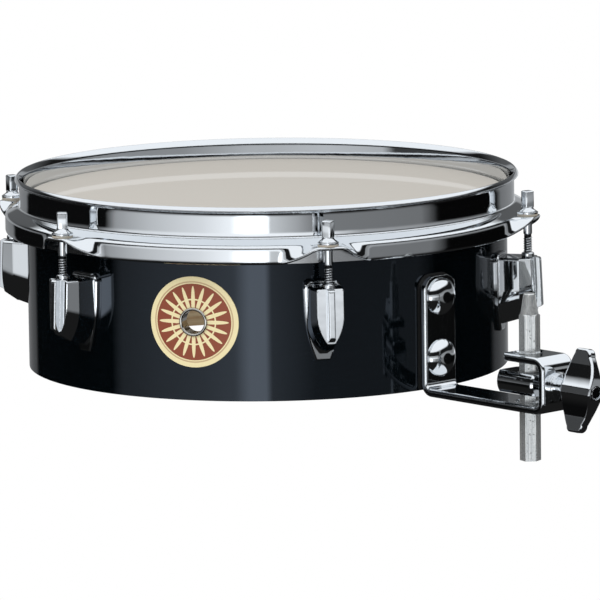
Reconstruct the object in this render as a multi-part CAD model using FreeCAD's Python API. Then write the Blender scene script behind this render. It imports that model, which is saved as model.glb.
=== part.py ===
"""Shallow single-headed snare drum on a hexagonal post: shell, hoop, lugs, snare unit and clamp.

The drum is laid out about its own axis with z = 0 at the shell's bottom edge, and every sub-part
is moved as one when it is written, so that the origin is the centre of the post's lower end.
Azimuths are measured about the drum axis from -Y towards +X; the clamp arm points along +X.
A sub-part that repeats is drawn at azimuth 0, where its distance from the axis runs along -Y.
"""
import FreeCAD, Part
import math
import os

V = FreeCAD.Vector
X_AXIS, Y_AXIS, Z_AXIS = V(1, 0, 0), V(0, 1, 0), V(0, 0, 1)

# ---- Shell ---------------------------------------------------------------------------------
SHELL_R = 150.0           # outside of the wrap, a 12 inch shell
SHELL_DEPTH = 106.0       # bottom edge to bearing edge
SHELL_WALL = 7.0          # ply, with the wrap
WRAP_T = 0.5
BEARING_CREST_W = 0.6     # rounded crest that carries the head
BEARING_OUTER = 2.0       # outside round-over
LUG_AZIMUTHS = [0, 60, 120, 180, 240, 300]
BADGE_AZIMUTH = 30.0
CLAMP_AZIMUTH = 90.0
THROW_AZIMUTH = 270.0
DRILL_OVER = 5.0          # how far a cutting tool runs past what it cuts

# ---- Head ----------------------------------------------------------------------------------
FILM_T = 0.3
FILM_GAP = 0.5            # film skirt to shell
FILM_BEND_R = 1.6         # bend of the film over the bearing edge
FILM_SKIRT_H = 19.0       # bearing edge to the lower edge of the film's skirt
FLESH_GAP = 0.35          # flesh hoop to film skirt
FLESH_W = 7.4
FLESH_H = 9.0
FLESH_CHAMFER = 1.2
FLESH_TOP_GAP = 0.3       # flesh hoop to the underside of the ears

# ---- Hoop: distances outwards from the shell or the wall, and up or down from the head ------
HOOP_T = 2.3              # pressed steel sheet
HOOP_WALL_OUT = 4.5       # outside of the upright wall beyond the shell
HOOP_LIP_OUT = 2.7        # lip beyond the wall
HOOP_SKIRT_OUT = 8.8      # skirt beyond the wall
HOOP_RISE = 13.7          # top of the lip above the head
HOOP_LIP_H = 3.4
HOOP_SHOULDER_DROP = 5.0  # where the wall turns into the shoulder
HOOP_SKIRT_DROP = 20.8
HOOP_BEND_R = 2.0         # outside of the press bends
HOOP_HEM_R = 0.9          # round of the skirt's lower edge
EAR_DROP = 9.2            # top of the ears below the head
EAR_NOSE = 6.2            # ear beyond the rod's axis
EAR_NOSE_W = 7.4          # half width where the nose arc starts
EAR_FLARE_W = 24.0        # half width where the flare leaves the skirt
EAR_WAIST_OUT = 1.6       # flare beyond the skirt at its middle
EAR_ARCH_W = 22.5         # half width of the arch in the skirt
EAR_HOLE_GAP = 1.05       # ear's hole round the rod

# ---- Tension rods --------------------------------------------------------------------------
ROD_OUT = 18.6            # rods' circle beyond the shell
ROD_SHANK_R = 2.7
ROD_THREAD_FIT = 0.06     # radial clearance in the swivel nut
ROD_PAST_NUT = 3.0
ROD_END_CHAMFER = 0.8
ROD_COLLAR_R = 5.6
ROD_COLLAR_H = 2.4
ROD_SQUARE = 6.35         # key square, across flats
ROD_SQUARE_H = 10.7
WASHER_R = 6.45
WASHER_GAP = 0.3          # washer's bore round the rod
STEEL_WASHER_T = 1.1
NYLON_WASHER_T = 1.2

# ---- Lugs ----------------------------------------------------------------------------------
LUG_DROP = 25.8           # top of the lug's body below the ears
LUG_NECK_OUT = 15.0       # widest edge of the flanks beyond the shell
LUG_FRONT_OUT = 4.9       # front face beyond the rod's axis
LUG_RIB_H = 4.0           # rib on the front face
LUG_RIB_W = 2.1           # half width of the rib
LUG_RIB_LEN = 31.0
LUG_ROOT_W = 9.6          # half widths: at the plate, at the widest edge and at the front face
LUG_NECK_W = 10.6
LUG_FRONT_W = 8.4
LUG_ROOT_LEN = 44.5       # lengths of the three outlines
LUG_NECK_LEN = 38.5
LUG_FRONT_LEN = 33.5
LUG_ROOT_SIDE = 24.0      # straight part of each outline's side
LUG_NECK_SIDE = 18.5
LUG_FRONT_SIDE = 16.0
LUG_TIP_W = 2.4           # half width of the flat tip of each outline
LUG_CORNER_R = 1.6        # round of each outline's upper corners
LUG_DRAFT = 2.5           # degrees that the front face leans back
LUG_CORE_DEPTH = 27.0     # bore for the swivel nut
LUG_EDGE_R = 0.45         # polished round of the casting's edges
NUT_R = 3.9
NUT_LEN = 23.7
NUT_PROUD = 2.7           # swivel nut above the lug
NUT_CHAMFER = 0.5
NUT_FIT = 0.1
LUG_PLATE_T = 2.6
LUG_PLATE_PROUD = 2.3     # plate above the lug's body
LUG_PLATE_H = 48.7
LUG_PLATE_HALF_W = 11.8
LUG_PLATE_CORNER_R = 5.5
LUG_PLATE_EDGE = 0.8      # bevel round the plate
LUG_SCREW_DROPS = [35.0, 13.0]
LUG_SCREW_R = 2.4
LUG_SCREW_LEN = 15.0
SCREW_CLEAR = 0.4         # clearance of a screw in the shell
SCREW_END_GAP = 1.0       # blind hole past a screw's end
SCREW_HEAD_R = 4.4
SCREW_HEAD_H = 2.8
SCREW_HEAD_BEVEL = 0.9
SCREW_SLOT_W = 1.0
SCREW_SLOT_LEN = 6.0
SCREW_SLOT_DEPTH = 1.8
SCREW_WASHER_R = 6.0
SCREW_WASHER_T = 1.0
SCREW_WASHER_GAP = 0.2

# ---- Badge and vent ------------------------------------------------------------------------
BADGE_R = 27.8
BADGE_T = 0.6
VENT_Z = 48.2
VENT_BORE_R = 6.95
VENT_BARREL_T = 0.6
VENT_FLANGE_R = 8.9
VENT_FLANGE_T = 1.2
VENT_LIP_T = 0.35         # flange's thickness at the bore
VENT_CLEAR = 0.15

# ---- Clamp bracket -------------------------------------------------------------------------
PLATE_T = 4.8
PLATE_HALF_W = 13.0
PLATE_BEND_R = 3.2        # inside of each bend
PLATE_EDGE_R = 1.7        # rolled round of the long edges
STRAP_TOP_Z = 70.0
STRAP_CORNER_R = 9.0
GASKET_MIN_T = 0.5
GASKET_RIM = 1.0
GASKET_LOW_Z = 1.2
ARM_LOW_Z = -3.2          # underside of the lower arm
ARM_HIGH_Z = 31.6         # top of the upper arm
WEB_OUT = 24.3            # web's outer face beyond the post's axis
UPPER_ARM_LIP = 1.2       # metal left beyond the post's hole
ARM_HOLE_R = 7.6
ARM_HOLE_CHAMFER = 1.0
BRACKET_BOLT_ZS = [19.4, 57.2]
BOLT_DOME_R = 11.3
BOLT_DOME_H = 5.6
BOLT_RIM_H = 1.1
BOLT_SHANK_R = 3.0
BOLT_LEN = 24.0
BOLT_CLEAR = 0.3
BOLT_NUT_AF = 10.0
BOLT_NUT_H = 5.0

# ---- Post ----------------------------------------------------------------------------------
POST_OUT = 81.7           # post's axis beyond the shell
POST_AF = 11.1
POST_LOW_Z = -34.3
POST_HEX_TOP_Z = 54.8
POST_SHOULDER_H = 1.7
POST_TIP_Z = 67.3
POST_TIP_R = 3.0
POST_TIP_ROUND = 0.6
POST_TURN = -42.5         # turn of one flat from +X

# ---- Eyebolt and wing nut ------------------------------------------------------------------
SEAT_GAP = 0.3            # rest gap of the post in the arm holes and the eye
CLAMP_AXIS_Z = 13.2
EYE_R = 10.5
EYE_FLAT = 6.5            # half height between the flats
EYE_HOLE_R = 7.3
EYE_IN = 18.7             # barrel's ends, inwards and outwards of the post's axis
EYE_OUT = 11.8
EYE_CHAMFER = 1.2
STUD_R = 4.0
STUD_PAST_WEB = 31.4
STUD_CHAMFER = 0.6
STUD_CLEAR = 0.5
CLAMP_WASHER_R = 9.0
CLAMP_WASHER_STEP = 0.6   # the second washer is smaller by this
CLAMP_WASHER_T = 1.5
WING_FIT = 0.06           # radial clearance of the wing nut on the stud
WING_HUB_R = 6.3
WING_NECK = 4.6           # plain hub before the wings
WING_SPAN = 50.5
WING_REACH = 28.8         # outer face at the middle, from the nut's seat
WING_TIP_BACK = 6.3       # outer face at the tips, behind the middle
WING_TIP_OUT = 9.5        # inner face at the tips, from the nut's seat
WING_TIP_HALF_T = 2.9
WING_EDGE_R = 1.3
WING_TILT = -10.0

# ---- Snare unit ----------------------------------------------------------------------------
WIRE_COUNT = 16
WIRE_R = 0.8
WIRE_PITCH = 2.6
WIRE_SHORT = 41.0         # wires' ends from the shell's inner wall
WIRE_GAP = 0.4            # wires to the underside of the head
END_PLATE_T = 1.0
END_PLATE_LEN = 16.0
END_PLATE_HALF_W = 23.0
END_PLATE_CORNER_R = 3.0
END_PLATE_OVERLAP = 6.0   # length of wire soldered on a plate
SADDLE_H = 6.5
SADDLE_LEN = 12.0
SADDLE_FOOT_W = 12.0      # width of each foot of the hollow saddle
SADDLE_ROOF_T = 4.0
BRIDGE_T = 1.5
BRIDGE_HALF_W = 26.0
BRIDGE_FLANGE = 11.0
BRIDGE_SHORT = 15.0       # channel's end from the shell's inner wall
BRIDGE_TAB_BACK = 9.5     # tab to the pivot
BRIDGE_TAB_W = 7.0        # half width of the tab and the foot
BRIDGE_TAB_LOW = 0.4      # tab's top below the end plate
BRIDGE_PAST_PIVOT = 6.0
WINDOW_PITCH = 36.0
WINDOW_LEN = 24.0
WINDOW_HALF_W = 9.0
WINDOW_R = 8.5
PIVOT_IN = 16.0           # pivot's axis from the shell's inner wall
PIVOT_BELOW = 6.5         # pin below the bridge's top
PIVOT_PIN_R = 2.5
PIVOT_PIN_PAST = 2.0
PIN_FIT = 0.06
PIVOT_EAR_T = 2.5
PIVOT_EAR_GAP = 0.4
PIVOT_EAR_LOW = 8.0       # ear below the pin's axis
BACK_PLATE_T = 2.5
BACK_PLATE_HALF_W = 13.0
BACK_PLATE_LOW_Z = 9.0
BACK_PLATE_GAP = 1.0      # back plate to the bridge above
TENSION_SCREW_R = 2.0
THUMB_HEAD_R = 3.1
THUMB_HEAD_LEN = 3.5
SCREW_IN_SADDLE = 10.5
SCREW_FIT = 0.06          # radial clearance of the tension screw in its saddle
SCREW_TAB_FIT = 0.1
CAM_IN = 17.0             # cam's outer face from the shell's inner wall
CAM_W = 8.0
CAM_BELOW = 23.0          # cam shaft below the bridge's channel
CAM_HIGH_R = 8.0
CAM_DROP = 4.5
CAM_GAP = 0.3
CAM_SHAFT_R = 3.5
FOOT_T = 1.5
FOOT_RIM = 1.0            # foot beyond the cam on each side
BUSH_R = 6.0
BUSH_FLANGE_R = 8.5
BUSH_T = 1.5
SHAFT_FIT = 0.06
HOUSING_OUT = 7.0         # housing's face beyond the shell
HOUSING_SKIN = 2.0        # what is left in front of the bush and the screws
HOUSING_HALF_W = 17.0
HOUSING_UP, HOUSING_DOWN = 11.0, 26.0    # from the cam shaft
HOUSING_FOOT_R = 9.0
HOUSING_CORNER_R = 6.0
HOUSING_EDGE_R = 1.5
HOUSING_SCREW_DROP = 18.0
HOUSING_SCREW_SPREAD = 10.0
LEVER_GAP = 0.3
LEVER_T = 4.5
LEVER_SKIN = 0.5          # lever's metal outside the shaft's end
LEVER_HUB_R = 8.5
LEVER_LEN = 46.0
LEVER_TIP_R = 6.0
LEVER_EDGE_R = 1.2
LEVER_SCREW_R = 4.0
LEVER_SCREW_H = 2.2
LEVER_SCREW_BEVEL = 0.8

# ---- Worked out from the above --------------------------------------------------------------
DIAGONAL = 1 - math.sqrt(0.5)             # share of a corner's radius at its middle
PLY_R = SHELL_R - WRAP_T
INNER_R = SHELL_R - SHELL_WALL
FILM_IN_R = SHELL_R + FILM_GAP
FILM_SKIRT_Z = SHELL_DEPTH - FILM_SKIRT_H
FLESH_IN_R = FILM_IN_R + FILM_T + FLESH_GAP
HOOP_WALL_R = SHELL_R + HOOP_WALL_OUT
HOOP_LIP_R = HOOP_WALL_R + HOOP_LIP_OUT
HOOP_SKIRT_R = HOOP_WALL_R + HOOP_SKIRT_OUT
HOOP_TOP_Z = SHELL_DEPTH + HOOP_RISE
HOOP_SHOULDER_Z = SHELL_DEPTH - HOOP_SHOULDER_DROP
HOOP_SKIRT_Z = SHELL_DEPTH - HOOP_SKIRT_DROP
EAR_TOP_Z = SHELL_DEPTH - EAR_DROP
FLESH_TOP_Z = EAR_TOP_Z - HOOP_T - FLESH_TOP_GAP
ROD_CIRCLE_R = SHELL_R + ROD_OUT
ROD_COLLAR_Z = EAR_TOP_Z + NYLON_WASHER_T + STEEL_WASHER_T
EAR_TIP_R = ROD_CIRCLE_R + EAR_NOSE
EAR_HOLE_R = ROD_SHANK_R + EAR_HOLE_GAP
WASHER_BORE_R = ROD_SHANK_R + WASHER_GAP
LUG_TOP_Z = EAR_TOP_Z - LUG_DROP
LUG_FRONT_R = ROD_CIRCLE_R + LUG_FRONT_OUT
LUG_RIB_R = LUG_FRONT_R + LUG_RIB_H
LUG_PLATE_TOP_Z = LUG_TOP_Z + LUG_PLATE_PROUD
LUG_SCREW_ZS = [LUG_TOP_Z - drop for drop in LUG_SCREW_DROPS]
NUT_TOP_Z = LUG_TOP_Z + NUT_PROUD
NUT_END_Z = NUT_TOP_Z - NUT_LEN
ROD_END_Z = NUT_END_Z - ROD_PAST_NUT
STRAP_IN_R = SHELL_R + GASKET_MIN_T
STRAP_OUT_R = STRAP_IN_R + PLATE_T
POST_AXIS_R = SHELL_R + POST_OUT
POST_CORNER_R = POST_AF / math.sqrt(3)
WEB_OUTER_R = POST_AXIS_R + WEB_OUT
WEB_IN_R = WEB_OUTER_R - PLATE_T
ARM_HOLE_CENTRE_R = POST_AXIS_R - (ARM_HOLE_R - POST_CORNER_R - SEAT_GAP)
UPPER_ARM_END_R = ARM_HOLE_CENTRE_R - ARM_HOLE_R - UPPER_ARM_LIP
EYE_CENTRE_R = POST_AXIS_R + (EYE_HOLE_R - POST_CORNER_R - SEAT_GAP)
EYE_INNER_R = POST_AXIS_R - EYE_IN
EYE_OUTER_R = POST_AXIS_R + EYE_OUT
STUD_END_R = WEB_OUTER_R + STUD_PAST_WEB
WING_SEAT_R = WEB_OUTER_R + 2 * CLAMP_WASHER_T
WING_CENTRE_R = WING_SEAT_R + WING_REACH
WING_TIP_OUTER_R = WING_CENTRE_R - WING_TIP_BACK
WING_TIP_INNER_R = WING_SEAT_R + WING_TIP_OUT
WIRE_HALF_LEN = INNER_R - WIRE_SHORT
WIRE_Z = SHELL_DEPTH - WIRE_GAP - WIRE_R
END_PLATE_Z = WIRE_Z - WIRE_R - END_PLATE_T
SADDLE_Z = END_PLATE_Z - SADDLE_H
SADDLE_X = WIRE_HALF_LEN - END_PLATE_OVERLAP + END_PLATE_LEN / 2
BRIDGE_Z = SADDLE_Z - BRIDGE_T
BRIDGE_END_X = BRIDGE_SHORT - INNER_R
PIVOT_X = INNER_R - PIVOT_IN
PIVOT_Z = SADDLE_Z - PIVOT_BELOW
PIVOT_EAR_Y = BRIDGE_HALF_W - BRIDGE_T - PIVOT_EAR_GAP
BRIDGE_TAB_X = PIVOT_X - BRIDGE_TAB_BACK
BACK_FACE_X = math.sqrt(INNER_R**2 - PIVOT_EAR_Y**2)
TENSION_SCREW_Z = SADDLE_Z + SADDLE_H / 2
CAM_X0 = CAM_IN - INNER_R
CAM_X1 = CAM_X0 + CAM_W
CAM_Z = BRIDGE_Z - CAM_BELOW
HOUSING_OUTER_R = SHELL_R + HOUSING_OUT
HOUSING_LOW_Z, HOUSING_HIGH_Z = CAM_Z - HOUSING_DOWN, CAM_Z + HOUSING_UP
HOUSING_SCREW_Z = CAM_Z - HOUSING_SCREW_DROP
LEVER_IN_X = -(HOUSING_OUTER_R + LEVER_GAP)


def at_xy(a, b):
    return V(a, b, 0)


def at_xz(a, b):
    return V(a, 0, b)


def at_yz(a, b):
    return V(0, a, b)


def outline(place, start, *steps):
    """Face inside a closed outline. A step is a point, or a pair of points for an arc."""
    edges = []
    here = start
    for step in list(steps) + [start]:
        if isinstance(step[0], tuple):
            middle, end = step
            edges.append(Part.Arc(place(*here), place(*middle), place(*end)).toShape())
            here = end
        elif math.dist(here, step) > 1e-6:
            edges.append(Part.LineSegment(place(*here), place(*step)).toShape())
            here = step
    return Part.Face(Part.Wire(edges))


def mirrored(steps, start):
    """The other half of an outline that is symmetric about its first coordinate's zero."""
    nodes = [start]
    for step in steps:
        nodes.extend(step if isinstance(step[0], tuple) else [step])
    kinds = [isinstance(step[0], tuple) for step in steps]
    result = []
    for arc in reversed(kinds):
        nodes.pop()
        middle = nodes.pop() if arc else None
        end = (-nodes[-1][0], nodes[-1][1])
        result.append(((-middle[0], middle[1]), end) if arc else end)
    return result


def both_sides(place, start, *steps):
    """Face inside a symmetric outline, given from one point on its axis to the other."""
    return outline(place, start, *steps, *mirrored(list(steps), start))


def spun(face):
    return face.revolve(V(0, 0, 0), Z_AXIS, 360)


def ring(inner_r, outer_r, z0, z1):
    tube = Part.makeCylinder(outer_r, z1 - z0, V(0, 0, z0))
    return tube.cut(Part.makeCylinder(inner_r, z1 - z0 + 2, V(0, 0, z0 - 1)))


def turned(shape, azimuth):
    copy = shape.copy()
    copy.rotate(V(0, 0, 0), Z_AXIS, azimuth)
    return copy


def radial(radius, from_r, to_r, z, across=0.0):
    """Cylinder pointing away from the drum axis at azimuth 0."""
    return Part.makeCylinder(radius, to_r - from_r, V(across, -from_r, z), V(0, -1, 0))


def along_x(radius, x0, x1, z, y=0.0):
    return Part.makeCylinder(radius, x1 - x0, V(x0, y, z), X_AXIS)


def box(x0, x1, y0, y1, z0, z1):
    return Part.makeBox(x1 - x0, y1 - y0, z1 - z0, V(x0, y0, z0))


def hexagon(across_flats, height):
    """Hexagonal prism standing on z = 0 with one pair of flats facing X."""
    corner = across_flats / math.sqrt(3)
    angles = [math.radians(30 + 60 * i) for i in range(6)]
    points = [V(corner * math.cos(a), corner * math.sin(a), 0) for a in angles]
    return Part.Face(Part.makePolygon(points + points[:1])).extrude(V(0, 0, height))


def seat_r(wall_r, half_w):
    """Distance from the drum axis of a flat piece whose edges touch the curved wall inside."""
    return math.sqrt(wall_r**2 - half_w**2)


# ---- Shell, badge and vent ------------------------------------------------------------------
def through_shell(radius, z, azimuth, across=0.0):
    hole = radial(radius, seat_r(INNER_R, abs(across)) - DRILL_OVER, SHELL_R + DRILL_OVER, z, across)
    return turned(hole, azimuth)


def shell_holes():
    screw_r = LUG_SCREW_R + SCREW_CLEAR
    holes = [through_shell(screw_r, z, a) for a in LUG_AZIMUTHS for z in LUG_SCREW_ZS]
    holes.append(through_shell(VENT_BORE_R + VENT_BARREL_T + VENT_CLEAR, VENT_Z, BADGE_AZIMUTH))
    for z in BRACKET_BOLT_ZS:
        holes.append(through_shell(BOLT_SHANK_R + BOLT_CLEAR, z, CLAMP_AZIMUTH))
    holes.append(through_shell(BUSH_R, CAM_Z, THROW_AZIMUTH))
    for across in (-HOUSING_SCREW_SPREAD, HOUSING_SCREW_SPREAD):
        holes.append(through_shell(screw_r, HOUSING_SCREW_Z, THROW_AZIMUTH, across))
    return holes


def shell():
    crest_out = PLY_R - BEARING_OUTER
    crest_in = crest_out - BEARING_CREST_W
    bevel_z = SHELL_DEPTH - (crest_in - INNER_R)
    round_mid = (PLY_R - 0.3 * BEARING_OUTER, SHELL_DEPTH - 0.3 * BEARING_OUTER)
    section = outline(
        at_xz, (INNER_R, 0), (INNER_R, bevel_z), (crest_in, SHELL_DEPTH),
        (crest_out, SHELL_DEPTH), (round_mid, (PLY_R, SHELL_DEPTH - BEARING_OUTER)), (PLY_R, 0))
    return spun(section).cut(shell_holes())


def shell_wrap():
    sheet = ring(PLY_R, SHELL_R, 0, SHELL_DEPTH - BEARING_OUTER)
    return sheet.cut(shell_holes())


def badge_plate():
    disc = radial(BADGE_R, SHELL_R - 10, SHELL_R + 10, VENT_Z)
    hole = radial(VENT_BORE_R + VENT_BARREL_T + VENT_CLEAR, SHELL_R - 11, SHELL_R + 11, VENT_Z)
    sheet = ring(SHELL_R, SHELL_R + BADGE_T, VENT_Z - BADGE_R - 1, VENT_Z + BADGE_R + 1)
    return turned(sheet.common(disc).cut(hole), BADGE_AZIMUTH)


def vent_grommet():
    """Barrel through the shell with a domed flange on the badge and a rolled one inside."""
    barrel_r = VENT_BORE_R + VENT_BARREL_T
    seat = SHELL_R + BADGE_T
    inner = seat_r(INNER_R, VENT_FLANGE_R)
    face_r = seat + VENT_FLANGE_T
    mid = (0.5 * (barrel_r + VENT_FLANGE_R), face_r)
    section = outline(
        at_xy, (VENT_BORE_R, inner - VENT_BARREL_T), (VENT_FLANGE_R, inner - VENT_BARREL_T),
        (VENT_FLANGE_R, inner), (barrel_r, inner), (barrel_r, seat), (VENT_FLANGE_R, seat),
        (mid, (VENT_BORE_R, seat + VENT_LIP_T)))
    grommet = section.revolve(V(0, 0, 0), Y_AXIS, 360)
    grommet.rotate(V(0, 0, 0), Z_AXIS, 180)
    grommet.translate(V(0, 0, VENT_Z))
    return turned(grommet, BADGE_AZIMUTH)


# ---- Head and hoop --------------------------------------------------------------------------
def batter_head():
    out_r = FILM_IN_R + FILM_T
    top = SHELL_DEPTH + FILM_T
    bend = FILM_BEND_R
    section = outline(
        at_xz, (0, SHELL_DEPTH), (FILM_IN_R - bend, SHELL_DEPTH),
        ((FILM_IN_R - 0.3 * bend, SHELL_DEPTH - 0.3 * bend), (FILM_IN_R, SHELL_DEPTH - bend)),
        (FILM_IN_R, FILM_SKIRT_Z), (out_r, FILM_SKIRT_Z), (out_r, SHELL_DEPTH - bend),
        ((out_r - 0.3 * bend, top - 0.38 * bend), (FILM_IN_R - bend, top)), (0, top))
    return spun(section)


def flesh_hoop():
    out_r = FLESH_IN_R + FLESH_W
    chamfer = FLESH_CHAMFER
    low = FLESH_TOP_Z - FLESH_H
    section = outline(
        at_xz, (FLESH_IN_R, low), (FLESH_IN_R, FLESH_TOP_Z), (out_r - chamfer, FLESH_TOP_Z),
        (out_r, FLESH_TOP_Z - chamfer), (out_r, low))
    return spun(section)


def hoop_ring():
    """Rolled lip, upright wall, sloped shoulder and skirt, all of one sheet thickness."""
    wall_in = HOOP_WALL_R - HOOP_T
    skirt_in = HOOP_SKIRT_R - HOOP_T
    lip_z = HOOP_TOP_Z - HOOP_LIP_H
    nose, hem, bend = HOOP_LIP_H / 2, HOOP_HEM_R, HOOP_BEND_R
    k, foot = DIAGONAL * hem, HOOP_SKIRT_Z + hem
    section = outline(
        at_xz, (HOOP_SKIRT_R, foot), (HOOP_SKIRT_R, EAR_TOP_Z - 1.3 * bend),
        ((HOOP_SKIRT_R - 0.4 * bend, EAR_TOP_Z - 0.4 * bend),
         (HOOP_SKIRT_R - 1.2 * bend, EAR_TOP_Z + 0.05 * bend)),
        (HOOP_WALL_R + 0.9 * bend, HOOP_SHOULDER_Z - 0.85 * bend),
        ((HOOP_WALL_R + 0.25 * bend, HOOP_SHOULDER_Z - 0.3 * bend),
         (HOOP_WALL_R, HOOP_SHOULDER_Z + 0.5 * bend)),
        (HOOP_WALL_R, lip_z - 0.5 * bend),
        ((HOOP_WALL_R + 0.15 * bend, lip_z - 0.15 * bend), (HOOP_WALL_R + 0.5 * bend, lip_z)),
        (HOOP_LIP_R - nose, lip_z),
        ((HOOP_LIP_R, lip_z + nose), (HOOP_LIP_R - nose, HOOP_TOP_Z)),
        (wall_in + 2.0, HOOP_TOP_Z),
        ((wall_in + 0.6, HOOP_TOP_Z - 0.6), (wall_in, HOOP_TOP_Z - 2.0)),
        (wall_in, HOOP_SHOULDER_Z + 0.6),
        ((wall_in + 0.8, HOOP_SHOULDER_Z - 2.0), (wall_in + 2.8, HOOP_SHOULDER_Z - 3.9)),
        (skirt_in - 1.6, EAR_TOP_Z - 1.9),
        ((skirt_in - 0.4, EAR_TOP_Z - 2.7), (skirt_in, EAR_TOP_Z - 4.2)),
        (skirt_in, foot), ((skirt_in + k, HOOP_SKIRT_Z + k), (skirt_in + hem, HOOP_SKIRT_Z)),
        (HOOP_SKIRT_R - hem, HOOP_SKIRT_Z),
        ((HOOP_SKIRT_R - k, HOOP_SKIRT_Z + k), (HOOP_SKIRT_R, foot)))
    return spun(section)


def ear_plan(inset):
    """Plan of one ear: the skirt flares out to a rounded nose around the rod."""
    skirt_r = HOOP_SKIRT_R - inset
    flare_y = math.sqrt(skirt_r**2 - EAR_FLARE_W**2)
    waist = (0.6 * EAR_FLARE_W - 0.7 * inset, HOOP_SKIRT_R + EAR_WAIST_OUT - inset)
    nose = (EAR_NOSE_W - 0.8 * inset, ROD_CIRCLE_R + 0.26 * EAR_NOSE - 0.6 * inset)
    root_y = HOOP_WALL_R + 1.5
    return outline(
        at_xy, (EAR_FLARE_W, -root_y), (EAR_FLARE_W, -flare_y),
        ((waist[0], -waist[1]), (nose[0], -nose[1])),
        ((0, inset - EAR_TIP_R), (-nose[0], -nose[1])),
        ((-waist[0], -waist[1]), (-EAR_FLARE_W, -flare_y)), (-EAR_FLARE_W, -root_y))


def ear_arch():
    """The skirt's lower edge sweeps up in an S on both sides of the rod."""
    low = HOOP_SKIRT_Z
    top = EAR_TOP_Z - HOOP_T + 0.1
    mid_x, mid_z = 0.66 * EAR_ARCH_W, 0.5 * (low + top)
    face = both_sides(
        at_xz, (0, low - 5), (EAR_ARCH_W + 3, low - 5), (EAR_ARCH_W + 3, low),
        (EAR_ARCH_W, low),
        ((0.87 * EAR_ARCH_W, low + 0.17 * (top - low)), (mid_x, mid_z)),
        ((0.47 * EAR_ARCH_W, top - 0.14 * (top - low)), (0.33 * EAR_ARCH_W, top)), (0, top))
    arch = face.extrude(V(0, -40, 0))
    arch.translate(V(0, -HOOP_WALL_R, 0))
    return arch


def batter_hoop():
    foot = HOOP_SKIRT_Z + HOOP_HEM_R
    outer = ear_plan(0).extrude(V(0, 0, EAR_TOP_Z - foot))
    outer.translate(V(0, 0, foot))
    inner = ear_plan(HOOP_T).extrude(V(0, 0, EAR_TOP_Z - HOOP_T - HOOP_SKIRT_Z + 5))
    inner.translate(V(0, 0, HOOP_SKIRT_Z - 5))
    hole = Part.makeCylinder(EAR_HOLE_R, 30, V(0, -ROD_CIRCLE_R, EAR_TOP_Z - 15))
    ears = [turned(outer, azimuth) for azimuth in LUG_AZIMUTHS]
    cuts = []
    for azimuth in LUG_AZIMUTHS:
        cuts += [turned(cut, azimuth) for cut in (inner, ear_arch(), hole)]
    return hoop_ring().fuse(ears).cut(cuts).removeSplitter()


# ---- Tension rods and lugs ------------------------------------------------------------------
def on_rod_circle(shape, azimuth):
    copy = shape.copy()
    copy.translate(V(0, -ROD_CIRCLE_R, 0))
    return turned(copy, azimuth)


def tension_rod():
    square_z = ROD_COLLAR_Z + ROD_COLLAR_H
    top_z = square_z + ROD_SQUARE_H
    bevel = 0.1 * ROD_COLLAR_R
    turned_part = spun(outline(
        at_xz, (0, ROD_END_Z), (ROD_SHANK_R - ROD_END_CHAMFER, ROD_END_Z),
        (ROD_SHANK_R, ROD_END_Z + ROD_END_CHAMFER), (ROD_SHANK_R, ROD_COLLAR_Z),
        (ROD_COLLAR_R, ROD_COLLAR_Z), (ROD_COLLAR_R, square_z - bevel),
        (ROD_COLLAR_R - bevel, square_z), (0, square_z)))
    half = ROD_SQUARE / 2
    square = box(-half, half, -half, half, square_z - bevel, top_z)
    chamfer = spun(outline(
        at_xz, (0, square_z - 1), (half * 1.6, square_z - 1), (half * 1.6, top_z - 0.6 * half),
        (half * 0.92, top_z), (0, top_z)))
    return turned_part.fuse(square.common(chamfer)).removeSplitter()


def rod_washer(z, thickness):
    return ring(WASHER_BORE_R, WASHER_R, z, z + thickness)


def swivel_nut():
    blank = Part.makeCylinder(NUT_R, NUT_TOP_Z - NUT_END_Z, V(0, 0, NUT_END_Z))
    rim = [e for e in blank.Edges if e.BoundBox.ZMin > NUT_TOP_Z - 0.1]
    bore_r = ROD_SHANK_R + ROD_THREAD_FIT
    bore = Part.makeCylinder(bore_r, 2 * NUT_LEN, V(0, 0, NUT_END_Z - DRILL_OVER))
    return blank.makeChamfer(NUT_CHAMFER, rim).cut(bore)


def lug_outline(out, half_w, side, length, lean=0.0, inset=0.0):
    """Bullet-shaped wire at one distance from the shell: straight sides, then in to a blunt tip."""
    half_w, top, low = half_w - inset, LUG_TOP_Z - inset, LUG_TOP_Z - length + inset
    k = LUG_CORNER_R * DIAGONAL
    steps = [
        (half_w - LUG_CORNER_R, top), ((half_w - k, top - k), (half_w, top - LUG_CORNER_R)),
        (half_w, top - side),
        ((0.77 * half_w, top - side - 0.56 * (length - side)), (LUG_TIP_W, low))]
    face = both_sides(at_xz, (0, top), *steps, (0, low))
    face.rotate(V(0, 0, 0.5 * (top + low)), X_AXIS, -lean)
    face.translate(V(0, -(SHELL_R + out), 0))
    return face.OuterWire


def lug_body():
    """Casting that widens from the plate to an edge on each flank, then narrows to its front."""
    edge, front_out = LUG_EDGE_R, LUG_FRONT_R - SHELL_R
    neck = (LUG_NECK_W, LUG_NECK_SIDE, LUG_NECK_LEN)
    front = (LUG_FRONT_W, LUG_FRONT_SIDE, LUG_FRONT_LEN, LUG_DRAFT)
    wires = [
        lug_outline(-DRILL_OVER, LUG_ROOT_W, LUG_ROOT_SIDE, LUG_ROOT_LEN),
        lug_outline(LUG_NECK_OUT - edge, *neck), lug_outline(LUG_NECK_OUT + edge, *neck),
        lug_outline(front_out - edge, *front), lug_outline(front_out, *front, edge)]
    return Part.makeLoft(wires, True, True)


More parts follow.
